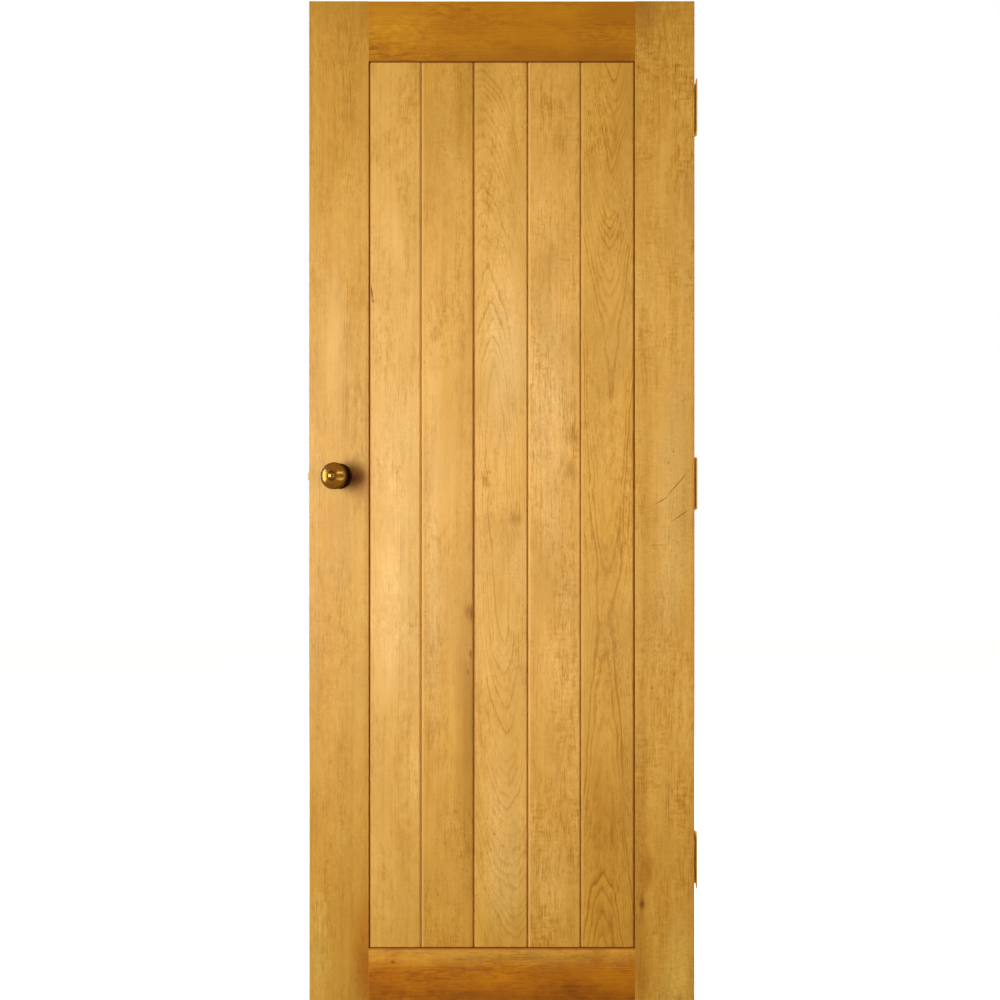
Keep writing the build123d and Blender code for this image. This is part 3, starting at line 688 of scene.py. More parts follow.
@dataclass(frozen=True)
class BrassFinish:
    """Brass, turned or rolled: bright where hands and cloths reach, brown where tarnish has stayed, and on
    the back of the knob a brown that is also painted shade.

    ``clean_from`` and ``clean_to`` are distances from the leaf's middle plane between which the brown of
    the back, tarnish and painted shade in one, gives way to bare metal, ``turned_about`` the X and Z of a
    lathe's axis, and ``groove_radius`` that of a groove about it where tarnish has stayed.
    """

    name: str
    bright: str
    dull: str
    tarnish: float
    roughness: float
    clean_from: float = 0.0
    clean_to: float = 0.0
    turned_about: tuple[float, float] | None = None
    groove_radius: float = 0.0
    groove_reach: tuple[float, float] = (0.6 * MM, 1.7 * MM)
    groove_stain: float = 0.95
    patch: float = 9 * MM
    patch_cut: tuple[float, float] = (0.42, 0.72)
    clean_rag: float = 6 * MM
    tarnish_roughness: float = 0.18
    relief: float = 0.06
    relief_depth: float = 0.1 * MM
    line_pitch: float = 0.9 * MM  # tool marks are finer; drawn coarser so that they show

    def material(self) -> Material:
        """Build the finish.

        Returns:
            The finished material.
        """
        material = new_material(self.name)
        add = functools.partial(add_node, material.node_tree)
        spot = add("ShaderNodeTexCoord", out="Object")
        clouds = {"Vector": spot, "Scale": 1 / self.patch, "Detail": 4.0, "Roughness": 0.6}
        cloud = add("ShaderNodeTexNoise", clouds)
        start, end = self.patch_cut
        stain = add("ShaderNodeMapRange", {0: cloud, 1: start, 2: end, 3: 0.0, 4: self.tarnish})
        # tarnish on the back of the knob, which is also painted shade where the knob and rose lie in their
        # own shadow
        if self.clean_to:
            away = add("ShaderNodeSeparateXYZ", {0: spot}, out="Y")
            away = add("ShaderNodeMath", {0: away}, operation="ABSOLUTE")
            ragged = {0: cloud, 1: self.clean_rag, 2: away}
            ragged = add("ShaderNodeMath", ragged, operation="MULTIPLY_ADD")
            back_fade = {0: ragged, 1: self.clean_to, 2: self.clean_from, 3: 0.0, 4: 1.0}
            back_tarnish_and_shade = add("ShaderNodeMapRange", back_fade, interpolation_type="SMOOTHSTEP")
            stain = add("ShaderNodeMath", {0: stain, 1: back_tarnish_and_shade}, operation="MAXIMUM")
        if self.groove_radius:
            off = {0: self._radius(add, spot), 1: self.groove_radius}
            off = add("ShaderNodeMath", off, operation="SUBTRACT")
            off = add("ShaderNodeMath", {0: off}, operation="ABSOLUTE")
            near, far = self.groove_reach
            groove = add("ShaderNodeMapRange", {0: off, 1: far, 2: near, 3: 0.0, 4: self.groove_stain})
            stain = add("ShaderNodeMath", {0: stain, 1: groove}, operation="MAXIMUM")
        colour = add("ShaderNodeMixRGB", {0: stain, 1: linear(self.bright), 2: linear(self.dull)})
        dulled = {0: stain, 1: self.tarnish_roughness, 2: self.roughness}
        rough = add("ShaderNodeMath", dulled, operation="MULTIPLY_ADD")
        lines = self._lines(add, spot)
        tooled = {"Strength": self.relief, "Distance": self.relief_depth, "Height": lines}
        bump = add("ShaderNodeBump", tooled)
        shader = add(
            "ShaderNodeBsdfPrincipled",
            {"Base Color": colour, "Roughness": rough, "Normal": bump, "Metallic": 1.0},
        )
        add("ShaderNodeOutputMaterial", {"Surface": shader})
        return material

    def _radius(self, add: AddNode, spot: Socket) -> Socket:
        """Distance from the lathe's axis.

        Args:
            add: Adds a node to the material.
            spot: Object coordinates.

        Returns:
            The distance, in metres.
        """
        axis = (self.turned_about[0], 0.0, self.turned_about[1])
        local = add("ShaderNodeVectorMath", {0: spot, 1: axis}, operation="SUBTRACT")
        radial = add("ShaderNodeVectorMath", {0: local, 1: (1.0, 0.0, 1.0)}, operation="MULTIPLY")
        return add("ShaderNodeVectorMath", {0: radial}, out="Value", operation="LENGTH")

    def _lines(self, add: AddNode, spot: Socket) -> Socket:
        """Tool marks: rings about the lathe's axis, or the fine scatter of rolled strip.

        Args:
            add: Adds a node to the material.
            spot: Object coordinates.

        Returns:
            Height of the marks.
        """
        pitch = self.line_pitch
        if self.turned_about is None:
            return add("ShaderNodeTexNoise", {"Vector": spot, "Scale": 1 / pitch, "Detail": 2.0})
        out = add("ShaderNodeSeparateXYZ", {0: spot}, out="Y")
        profile = add("ShaderNodeCombineXYZ", {0: self._radius(add, spot), 1: out})
        return add("ShaderNodeTexNoise", {"Vector": profile, "Scale": 1 / pitch, "Detail": 2.0})


@dataclass(frozen=True)
class SteelFinish:
    """Zinc-plated steel: cool grey, with the fine drawn lines of bar and strip."""

    name: str
    bright: str
    dull: str
    roughness: float
    line_pitch: float = 0.7 * MM
    line_stretch: float = 20.0
    line_roughness: float = 0.15
    relief: float = 0.08
    relief_depth: float = 0.05 * MM

    def material(self) -> Material:
        """Build the finish.

        Returns:
            The finished material.
        """
        material = new_material(self.name)
        add = functools.partial(add_node, material.node_tree)
        spot = add("ShaderNodeTexCoord", out="Object")
        fine = 1 / self.line_pitch
        stretch = (fine / self.line_stretch, fine, fine)
        vector = add("ShaderNodeVectorMath", {0: spot, 1: stretch}, operation="MULTIPLY")
        lines = add("ShaderNodeTexNoise", {"Vector": vector, "Scale": 1.0, "Detail": 2.0})
        colour = add("ShaderNodeMixRGB", {0: lines, 1: linear(self.bright), 2: linear(self.dull)})
        dulled = {0: lines, 1: self.line_roughness, 2: self.roughness}
        rough = add("ShaderNodeMath", dulled, operation="MULTIPLY_ADD")
        drawn = {"Strength": self.relief, "Distance": self.relief_depth, "Height": lines}
        bump = add("ShaderNodeBump", drawn)
        shader = add(
            "ShaderNodeBsdfPrincipled",
            {"Base Color": colour, "Roughness": rough, "Normal": bump, "Metallic": 1.0},
        )
        add("ShaderNodeOutputMaterial", {"Surface": shader})
        return material


@dataclass
class OakLeaf:
    """Stiles, rails and boards of the leaf, each with the grain that its own face shows."""

    lock_stile: OakTone = OakTone("#D9AD56", "#CD9B40", "#AA761C", joint="#D69046")
    hinge_stile: OakTone = OakTone("#EABB5F", "#DCA748", "#B98020", joint="#AE6020")
    top_rail: OakTone = OakTone(
        "#D79B1D", "#C4840B", "#9E6206", tint="#B27008", pore="#824A06", joint="#8A4408"
    )
    bottom_rail: OakTone = OakTone(
        "#D38D11", "#C07607", "#995704", tint="#AE6A06", pore="#7A4404", joint="#96480C"
    )
    board_1: OakTone = OakTone("#EBC178", "#DFAF5B", "#BD882E", joint="#D89C50")
    board_2: OakTone = OakTone("#E5B765", "#D9A54B", "#B67F24")
    board_3: OakTone = OakTone("#F0C371", "#E2AF56", "#BD8729")
    board_4: OakTone = OakTone("#EEBF6F", "#E1AC53", "#BD8529", joint="#C07C38")
    board_5: OakTone = OakTone("#E7B75A", "#D9A342", "#B2791F", joint="#C07C38")

    lock_marks: tuple[Mark, ...] = (
        Mark(-276, 1098, 2.2, 22, 0.55, "#8A5A14"),
        Mark(-330, 1290, 40, 250, 0.30, "#EBC27A"),
        Mark(-322, 1990, 300, 120, 0.80, "#C3923A"),
        Mark(-362, 90, 36, 200, 0.90, "#EABE66"),
        Mark(-270, 45, 36, 120, 0.85, "#AC6A0C"),
        Mark(-274, 140, 30, 150, 0.75, "#B4741A"),
        Mark(-270, 1950, 34, 90, 0.45, "#B07A24"),
        Mark(-364, 1040, 26, 60, 0.50, "#C08E38"),
        # painted shadow: the knob's cast shadow on the stile, amber and spreading right and down, with a
        # dark red-brown core beside the rose
        Mark(-282, 1040, 46, 58, 0.90, "#A46E12"),
        Mark(-276, 1026, 32, 58, 0.75, "#A0680E"),
        Mark(-289, 1039, 20, 17, 0.75, "#7A300C"),
        Mark(-267, 990, 9, 1300, 0.45, "#B47C2A"),
    )
    hinge_marks: tuple[Mark, ...] = (
        Mark(378.5, 990, 6, 1300, 0.40, "#C8781E"),
        Mark(285, 990, 24, 900, 0.35, "#C08E36"),
        Mark(334, 1000, 44, 420, 0.40, "#EBC070"),
        Mark(322, 1995, 300, 100, 0.45, "#C8943C"),
        Mark(278, 1985, 44, 130, 0.80, "#B07A2C"),
        Mark(350, 60, 60, 220, 0.80, "#F4C872"),
        Mark(278, 50, 26, 60, 0.50, "#B87A1E"),
        Mark(316, 994, 1.8, 19, 0.90, "#8A5410", turn_deg=-60),
        Mark(346, 1025, 1.8, 50, 0.95, "#8A5410", turn_deg=-41),
        Mark(354, 965, 1.8, 33, 0.90, "#8A5410", turn_deg=-55),
        Mark(312, 906, 26, 1.5, 0.55, "#A06C1A"),
        Mark(329, 1068, 4, 4.5, 0.60, "#98621A"),
        Mark(339, 1091, 3, 5, 0.55, "#98621A"),
        Mark(297, 623, 5, 4, 0.60, "#8E5E1C"),
        Mark(273, 300, 26, 420, 0.50, "#B47A20"),
        Mark(288, 262, 17, 56, 0.60, "#A8640C", swirl=1.0),
        Mark(277, 197, 9, 20, 0.85, "#763C08", swirl=2.0),
        Mark(298, 182, 5, 52, 0.75, "#E6B868", turn_deg=4),
        Mark(291, 1503, 13, 2.6, 0.45, "#A8761E"),
        Mark(291, 1275, 19, 2.2, 0.45, "#A8761E"),
        Mark(358, 1388, 2.2, 12, 0.50, "#EBC07A", turn_deg=-12),
    )
    board_1_marks: tuple[Mark, ...] = (
        Mark(-205, 890, 60, 420, 0.30, "#F6CC84"),
        Mark(-258, 1406, 3.0, 24, 0.95, "#6E3E10", turn_deg=8, swirl=1.5),
        Mark(-255.5, 1389, 4.5, 6, 0.80, "#7A4A16"),
        Mark(-244.6, 1066, 3, 3.5, 0.60, "#94631E"),
        Mark(-190, 1750, 15, 2.2, 0.35, "#B07E28"),
    )
    board_2_marks: tuple[Mark, ...] = (
        Mark(-135, 990, 22, 700, 0.30, "#F0C684"),
        Mark(-80, 900, 26, 600, 0.35, "#C8943E"),
        Mark(-62, 990, 8, 1300, 0.30, "#B4802E"),
        Mark(-78, 1790, 32, 190, 0.65, "#BE8A30"),
        Mark(-60, 540, 38, 430, 0.75, "#AC7A22"),
        Mark(-86, 1671, 16, 3, 0.45, "#A87826"),
        Mark(-114, 1369, 3, 3.5, 0.55, "#96661E"),
        Mark(-96, 1371, 2.5, 2.5, 0.50, "#96661E"),
        Mark(-67, 775, 13, 26, 0.80, "#A5691A"),
        Mark(-60, 770, 5, 24, 0.85, "#7E4C12"),
        Mark(-62, 690, 4, 15, 0.85, "#7E4C12"),
        Mark(-67, 655, 4, 10, 0.70, "#8E5E1A"),
        Mark(-152, 774, 9, 2.4, 0.45, "#A87826"),
        Mark(-126, 214, 3.5, 3.5, 0.50, "#96661E"),
        Mark(-112, 315, 3.5, 3.5, 0.50, "#96661E"),
    )
    board_3_marks: tuple[Mark, ...] = (
        Mark(6, 1291, 70, 260, 0.36, "#F4CE8E"),
        Mark(-55, 990, 3.4, 1500, 0.85, "#9A5818"),
        Mark(-55, 1040, 3, 20, 0.80, "#7A4A10"),
        Mark(-31, 1030, 10, 28, 0.80, "#B5822C", turn_deg=25, swirl=1.2),
        Mark(26, 958, 19, 20, 0.80, "#B07A22", swirl=1.6),
        Mark(-21, 987, 6, 2, 0.50, "#96661E"),
        Mark(-4, 940, 60, 70, 0.35, "#C28C36"),
        Mark(0, 830, 80, 260, 0.40, "#CE9C46"),
        Mark(4, 325, 70, 260, 0.40, "#F4CC88"),
        Mark(4, 225, 60, 120, 0.45, "#F6CE84"),
    )
    board_4_marks: tuple[Mark, ...] = (
        Mark(139, 1124, 20, 28, 0.80, "#BA862A"),
        Mark(137, 1055, 20, 34, 0.80, "#BC8830"),
        Mark(100, 235, 60, 130, 0.45, "#F2C678"),
        Mark(119, 902, 3.5, 3.5, 0.65, "#8E5E1A", swirl=0.8),
        Mark(96, 1180, 60, 340, 0.30, "#F2CA88"),
    )
    board_5_marks: tuple[Mark, ...] = (
        Mark(208, 343, 56, 230, 0.35, "#B0761C"),
        Mark(259.5, 990, 2.8, 1500, 0.60, "#96581A"),
    )
    top_marks: tuple[Mark, ...] = (
        Mark(-190, 1940, 130, 70, 0.60, "#DCA22C"),
        Mark(0, 1866, 900, 36, 0.50, "#9A5F04"),
    )
    bottom_marks: tuple[Mark, ...] = (
        Mark(0, 108, 900, 46, 0.90, "#E0AA50"),
        Mark(0, 0, 900, 64, 0.55, "#8E4A00"),
        Mark(-215, 82, 7, 6, 0.65, "#6E3C0A", swirl=1.0),
    )

    def cuts(self) -> list[OakCut]:
        """List how each piece was sawn and what marks it.

        Returns:
            One cut for each piece of the leaf.
        """
        upward_cathedral = {
            "pith_across": -0.0116,
            "pith_depth": 0.03,
            "bend": -0.117,
            "lean": -0.04,
            "peak": 0.06,
        }
        downward_cathedral = {
            "pith_across": -0.004,
            "pith_depth": 0.108,
            "crest": -0.227,
            "bend": 0.05,
            "peak": 0.08,
        }
        return [
            OakCut("lock_stile", self.lock_stile, 1.0, joint_side=1, stain=0.4, marks=self.lock_marks),
            OakCut(
                "hinge_stile", self.hinge_stile, 2.0, joint_side=-1, fleck=0.3, ripple=0.8, streak=0.95,
                mottle=0.55, pores=0.26, stain=0.9, marks=self.hinge_marks,
            ),
            OakCut(
                "top_rail", self.top_rail, 3.0, Grain.LYING, joint_side=-1, streak=0.8, mottle=0.95,
                pooled=2.4 * MM, stain=0.95, marks=self.top_marks,
            ),
            OakCut(
                "bottom_rail", self.bottom_rail, 4.0, Grain.LYING, joint_side=1, streak=1.15, mottle=0.9,
                patch=1.0, pooled=4.0 * MM, stain=0.95, marks=self.bottom_marks,
            ),
            OakCut(
                "board_1", self.board_1, 5.0, streak=0.42, pores=0.14, stain=0.5, marks=self.board_1_marks,
            ),
            OakCut("board_2", self.board_2, 6.0, stain=0.6, marks=self.board_2_marks),
            OakCut(
                "board_3", self.board_3, 7.0, ring=0.31, stain=0.5, wear_and_highlight=0.1, marks=self.board_3_marks,
                **upward_cathedral,
            ),
            OakCut(
                "board_4", self.board_4, 8.0, ripple=0.65, streak=1.15, mottle=0.75, pores=0.24, stain=0.4,
                marks=self.board_4_marks,
            ),
            OakCut(
                "board_5", self.board_5, 9.0, ring_width=2.7 * MM, ring=0.50, streak=0.7, mottle=0.78,
                pores=0.28, stain=0.45, marks=self.board_5_marks, **downward_cathedral,
            ),
        ]

    def dress(self, nodes: dict[str, Piece]) -> None:
        """Finish every piece of the leaf.

        Args:
            nodes: The door's pieces by name.
        """
        for cut in self.cuts():
            dress(nodes[cut.node], OakFinish(cut).material())


@dataclass(frozen=True)
class WoodScrew:
    """Slotted countersunk wood screw with its thread, driven in groups by one node tree."""

    head_radius: float
    shank_radius: float
    length: float
    rim: float = 0.4 * MM
    point: float = 5 * MM
    slot_width: float = 1.0 * MM
    slot_depth: float = 1.1 * MM
    thread_pitch: float = 1.6 * MM
    thread_depth: float = 0.4 * MM
    threaded_share: float = 0.62
    thread_steps: int = 16
    ridge_sides: int = 3
    slot_overrun: float = 3.0
    weld: float = 0.01 * MM
    sides: int = 32
    smooth_deg: float = 35.0

    def drive(
        self, name: str, places: list[Vector], facing: Facing, material: Material, seed: int
    ) -> Piece:
        """Drive a group of screws, each turned by chance, as one mesh.

        Args:
            name: Name of the group.
            places: Middle of each head.
            facing: Which way the heads look.
            material: Their finish.
            seed: Seed of the turns.

        Returns:
            The group, at the origin.
        """
        tree = self._tree(name, facing, material)
        return grow(name, places, tree, self._sizes(seed), self.smooth_deg)

    def _sizes(self, seed: int) -> dict[str, float | int]:
        """List the values of the tree's named inputs.

        Args:
            seed: Seed of the turns.

        Returns:
            Value of each input by its name.
        """
        return {
            "Head radius": self.head_radius,
            "Shank radius": self.shank_radius,
            "Length": self.length,
            "Rim": self.rim,
            "Point": self.point,
            "Slot width": self.slot_width,
            "Slot depth": self.slot_depth,
            "Thread pitch": self.thread_pitch,
            "Thread depth": self.thread_depth,
            "Seed": seed,
        }

    def _tree(self, name: str, facing: Facing, material: Material) -> Tree:
        """Build the tree that puts a screw on every point.

        Args:
            name: Name of the group.
            facing: Which way the heads look.
            material: Finish of the screws.

        Returns:
            The node tree, with a named input for each size.
        """
        tree = new_tree(name, self._sizes(0))
        add = functools.partial(add_node, tree)
        given = add("NodeGroupInput").node.outputs
        screw = add("GeometryNodeJoinGeometry", {0: [self._body(add, given), self._thread(add, given)]})
        half_turn = {2: 0.0, 3: math.pi, 8: given["Seed"]}
        chance = add("FunctionNodeRandomValue", half_turn, out=1, data_type="FLOAT")
        spin = add("FunctionNodeAxisAngleToRotation", {"Axis": (0.0, 0.0, 1.0), "Angle": chance})
        turned = add("FunctionNodeEulerToRotation", {0: facing.value})
        rotation = add("FunctionNodeRotateRotation", {0: spin, 1: turned}, rotation_space="GLOBAL")
        spread(add, given, screw, material, Rotation=rotation)
        return tree

    def _body(self, add: AddNode, given: Sockets) -> Socket:
        """Closed shell of head, shank and point, with the slot cut in the head.

        Args:
            add: Adds a node to the tree.
            given: The tree's inputs.

        Returns:
            The body, pointing down from its head at Z 0.
        """
        head, shank = given["Head radius"], given["Shank radius"]
        taper = add("ShaderNodeMath", {0: head, 1: shank}, operation="SUBTRACT")
        head_height = add("ShaderNodeMath", {0: given["Rim"], 1: taper}, operation="ADD")
        shank_end = add("ShaderNodeMath", {0: given["Length"], 1: given["Point"]}, operation="SUBTRACT")
        shank_length = add("ShaderNodeMath", {0: shank_end, 1: head_height}, operation="SUBTRACT")
        stages = (
            (head, head, given["Rim"], given["Rim"]),
            (shank, head, taper, head_height),
            (shank, shank, shank_length, shank_end),
            (0.0, shank, given["Point"], given["Length"]),
        )
        shells = []
        for low, high, height, drop in stages:
            cone = {"Vertices": self.sides, "Radius Bottom": low, "Radius Top": high, "Depth": height}
            shell = add("GeometryNodeMeshCone", cone, fill_type="NONE")
            below = add("ShaderNodeMath", {0: drop, 1: -1.0}, operation="MULTIPLY")
            offset = add("ShaderNodeCombineXYZ", {2: below})
            shells.append(add("GeometryNodeTransform", {"Geometry": shell, "Translation": offset}))
        disc = {"Vertices": self.sides, "Radius": head}
        shells.append(add("GeometryNodeMeshCircle", disc, fill_type="NGON"))
        joined = add("GeometryNodeJoinGeometry", {0: shells})
        closed = add("GeometryNodeMergeByDistance", {"Geometry": joined, "Distance": self.weld})
        # the cutter lies centred on the face, so half of its depth is above the head
        long = add("ShaderNodeMath", {0: head, 1: self.slot_overrun}, operation="MULTIPLY")
        deep = add("ShaderNodeMath", {0: given["Slot depth"], 1: 2.0}, operation="MULTIPLY")
        size = add("ShaderNodeCombineXYZ", {0: long, 1: given["Slot width"], 2: deep})
        slot = add("GeometryNodeMeshCube", {"Size": size})
        return add("GeometryNodeMeshBoolean", {0: closed, 1: slot}, operation="DIFFERENCE")

    def _thread(self, add: AddNode, given: Sockets) -> Socket:
        """Ridge that winds up the lower shank.

        Args:
            add: Adds a node to the tree.
            given: The tree's inputs.

        Returns:
            The closed ridge.
        """
        shank_end = add("ShaderNodeMath", {0: given["Length"], 1: given["Point"]}, operation="SUBTRACT")
        height = add("ShaderNodeMath", {0: shank_end, 1: self.threaded_share}, operation="MULTIPLY")
        turns = add("ShaderNodeMath", {0: height, 1: given["Thread pitch"]}, operation="DIVIDE")
        shank, ridge = given["Shank radius"], given["Thread depth"]
        wound = wound_bar(add, shank, turns, height, self.thread_steps, ridge, self.ridge_sides)
        below = add("ShaderNodeMath", {0: shank_end, 1: -1.0}, operation="MULTIPLY")
        offset = add("ShaderNodeCombineXYZ", {2: below})
        return add("GeometryNodeTransform", {"Geometry": wound, "Translation": offset})


@dataclass(frozen=True)
class CoilSpring:
    """Wire wound round a straight axis along X."""

    wire_radius: float
    turns: float
    steps_per_turn: int = 24
    wire_sides: int = 10
    smooth_deg: float = 60.0

    def wind(self, name: str, low: Vector, high: Vector, material: Material) -> Piece:
        """Wind the spring to fill a box.

        Args:
            name: Name of the spring.
            low: Lowest corner of the box.
            high: Highest corner of the box.
            material: Finish of the wire.

        Returns:
            The spring, at the origin.
        """
        sizes = {
            "Wire radius": self.wire_radius,
            "Coil radius": (high.y - low.y) / 2 - self.wire_radius,
            "Length": high.x - low.x - 2 * self.wire_radius,
        }
        tree = new_tree(name, sizes)
        add = functools.partial(add_node, tree)
        given = add("NodeGroupInput").node.outputs
        radius, wire = given["Coil radius"], given["Wire radius"]
        coil = wound_bar(
            add, radius, self.turns, given["Length"], self.steps_per_turn, wire, self.wire_sides
        )
        laid = {"Geometry": coil, "Rotation": (0.0, math.pi / 2, 0.0)}
        laid = add("GeometryNodeTransform", laid)
        spread(add, given, laid, material)
        middle = (low + high) / 2
        start = Vector((low.x + self.wire_radius, middle.y, middle.z))
        return grow(name, [start], tree, sizes, self.smooth_deg)


@dataclass
class KnobSet:
    """Turned knobs on their roses, the spindle that joins them, and the screws of the roses."""

    rose_screw: WoodScrew = WoodScrew(
        3.0 * MM, 1.6 * MM, 16 * MM, thread_pitch=1.1 * MM, thread_depth=0.3 * MM
    )
    screw_offset: float = 15.8 * MM
    plate_thickness: float = 4.0 * MM
    # tarnish and painted shade on the knob's back, up to this distance from the leaf's middle plane
    back_tarnish_and_shade: float = 65 * MM
    handled: float = 74 * MM
    groove_radius: float = 7.9 * MM

    def build(self, nodes: dict[str, Piece], steel: Material) -> None:
        """Finish the knobs and drive the screws of the roses.

        Args:
            nodes: The door's pieces by name.
            steel: Finish of the spindle and its grub screws.
        """
        low, high = (Vector(corner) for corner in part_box("front_knob"))
        axis = (low + high) / 2
        brass = BrassFinish(
            name="aged_turned_brass",
            bright="#AE9050",
            dull="#3A2410",
            tarnish=0.40,
            roughness=0.19,
            clean_from=self.back_tarnish_and_shade,
            clean_to=self.handled,
            turned_about=(axis.x, axis.z),
            groove_radius=self.groove_radius,
        ).material()
        for side in ("front", "back"):
            dress(nodes[f"{side}_knob"], brass)
            dress(nodes[f"{side}_rose"], brass)
            self._screws(side, axis, brass)
        for name in ("spindle", "grub_screws"):
            dress(nodes[name], steel)

    def _screws(self, side: str, axis: Vector, brass: Material) -> None:
        """Drive the two screws of one rose.

        Args:
            side: "front" or "back".
            axis: A point on the knobs' axis.
            brass: Finish of the screws.
        """
        facing = Facing[side.upper()]
        low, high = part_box(f"{side}_rose")
        face = high[1] if facing is Facing.FRONT else low[1]
        outward = -1 if facing is Facing.FRONT else 1
        plate = face + outward * self.plate_thickness
        places = [Vector((axis.x, plate, axis.z + lift * self.screw_offset)) for lift in (-1, 1)]
        node = f"{side}_rose_screws"
        screws = self.rose_screw.drive(f"{side}_rose_wood_screws", places, facing, brass, seed=3)
        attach(screws, "leaf")
        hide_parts(node)


@dataclass
class TubularLatch:
    """Bolt, faceplate and case in the lock edge, and the two screws of the faceplate."""

    screw: WoodScrew = WoodScrew(3.4 * MM, 1.9 * MM, 22 * MM, thread_pitch=1.3 * MM)
    screw_spacing: float = 44 * MM
    spring: CoilSpring = CoilSpring(0.6 * MM, 5.0)
    squeezed_share: float = 0.66

    def build(self, nodes: dict[str, Piece], brass: Material, steel: Material) -> None:
        """Finish the latch and drive its screws.

        Args:
            nodes: The door's pieces by name.
            brass: Finish of what shows.
            steel: Finish of the works.
        """
        for name in ("latch_faceplate", "latch_bolt"):
            dress(nodes[name], brass)
        for name in ("latch_case", "latch_follower"):
            dress(nodes[name], steel)
        self._spring(steel)
        low, high = (Vector(corner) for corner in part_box("latch_faceplate"))
        middle = (low + high) / 2
        lifts = [side * self.screw_spacing / 2 for side in (-1, 1)]
        places = [Vector((low.x, middle.y, middle.z + lift)) for lift in lifts]
        screws = self.screw.drive("latch_wood_screws", places, Facing.LOCK_EDGE, brass, seed=5)
        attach(screws, "leaf")
        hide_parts("latch_screws")

    def _spring(self, steel: Material) -> None:
        """Wind the spring that the bolt squeezes against its seat.

        Args:
            steel: Finish of the wire.
        """
        low, high = (Vector(corner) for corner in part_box("latch_spring"))
        spring = self.spring.wind("latch_coil_spring", low, high, steel)
        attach(spring, "leaf")
        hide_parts("latch_spring")
        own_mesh(spring)


@dataclass
class ButtHinges:
    """Three hinges: flaps with rolled knuckles, pins, washers, and the screws into the leaf."""

    names: tuple[str, ...] = ("bottom", "middle", "top")
    screw: WoodScrew = WoodScrew(4.2 * MM, 2.3 * MM, 32 * MM)
    far_column: float = 9 * MM
    near_column: float = 21 * MM
    narrow_share: float = 0.275
    wide_share: float = 0.75

    def build(self, nodes: dict[str, Piece], brass: Material, steel: Material) -> None:
        """Finish the hinges and drive their screws.

        Args:
            nodes: The door's pieces by name.
            brass: Finish of flaps and pins.
            steel: Finish of the washers.
        """
        places = []
        for name in self.names:
            for part in ("door_flap", "jamb_flap", "pin"):
                dress(nodes[f"{name}_hinge_{part}"], brass)
            dress(nodes[f"{name}_hinge_washers"], steel)
            places += self._places(name)
        screws = self.screw.drive("hinge_wood_screws", places, Facing.HINGE_EDGE, brass, seed=7)
        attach(screws, "leaf")
        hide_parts("hinge_screws")

    def _places(self, name: str) -> list[Vector]:
        """Where the screws of one hinge go.

        Args:
            name: Which hinge.

        Returns:
            Middle of each head, flush with the leaf's edge.
        """
        low, high = (Vector(corner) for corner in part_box(f"{name}_hinge_door_flap"))
        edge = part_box("hinge_stile")[1][0]
        middle, length = (low.z + high.z) / 2, high.z - low.z
        columns = ((self.far_column, self.narrow_share), (self.near_column, self.wide_share))
        return [
            Vector((edge, low.y + column, middle + side * share * length / 2))
            for column, share in columns
            for side in (-1, 1)
        ]


@dataclass(frozen=True)
class SoftBox:
    """One soft lamp: its place, what it faces, its size, its watts, and whether brass mirrors it."""

    name: str
    place: Point
    aim: Point
    width: float
    height: float
    power: float
    mirrored: bool = True

    def build(self) -> None:
        """Hang the lamp."""
        data = bpy.data.lights.new(self.name, "AREA")
        data.shape = "RECTANGLE"
        data.size = self.width
        data.size_y = self.height
        data.energy = self.power
        lamp = bpy.data.objects.new(self.name, data)
        bpy.context.scene.collection.objects.link(lamp)
        lamp.location = self.place
        lamp.visible_camera = False
        lamp.visible_glossy = self.mirrored
        aim = Vector(self.aim) - Vector(self.place)
        lamp.rotation_euler = aim.to_track_quat("-Z", "Y").to_euler()


@dataclass(frozen=True)
class Card:
    """Upright card that only polished metal and varnish mirror, by its ends in plan and its heights."""

    name: str
    start: tuple[float, float]
    end: tuple[float, float]
    low: float
    high: float
    colour: str
    level: float

    def corners(self) -> list[Point]:
        """Place its corners.

        Returns:
            The four corners in order.
        """
        return [
            (*self.start, self.low),
            (*self.end, self.low),
            (*self.end, self.high),
            (*self.start, self.high),
        ]


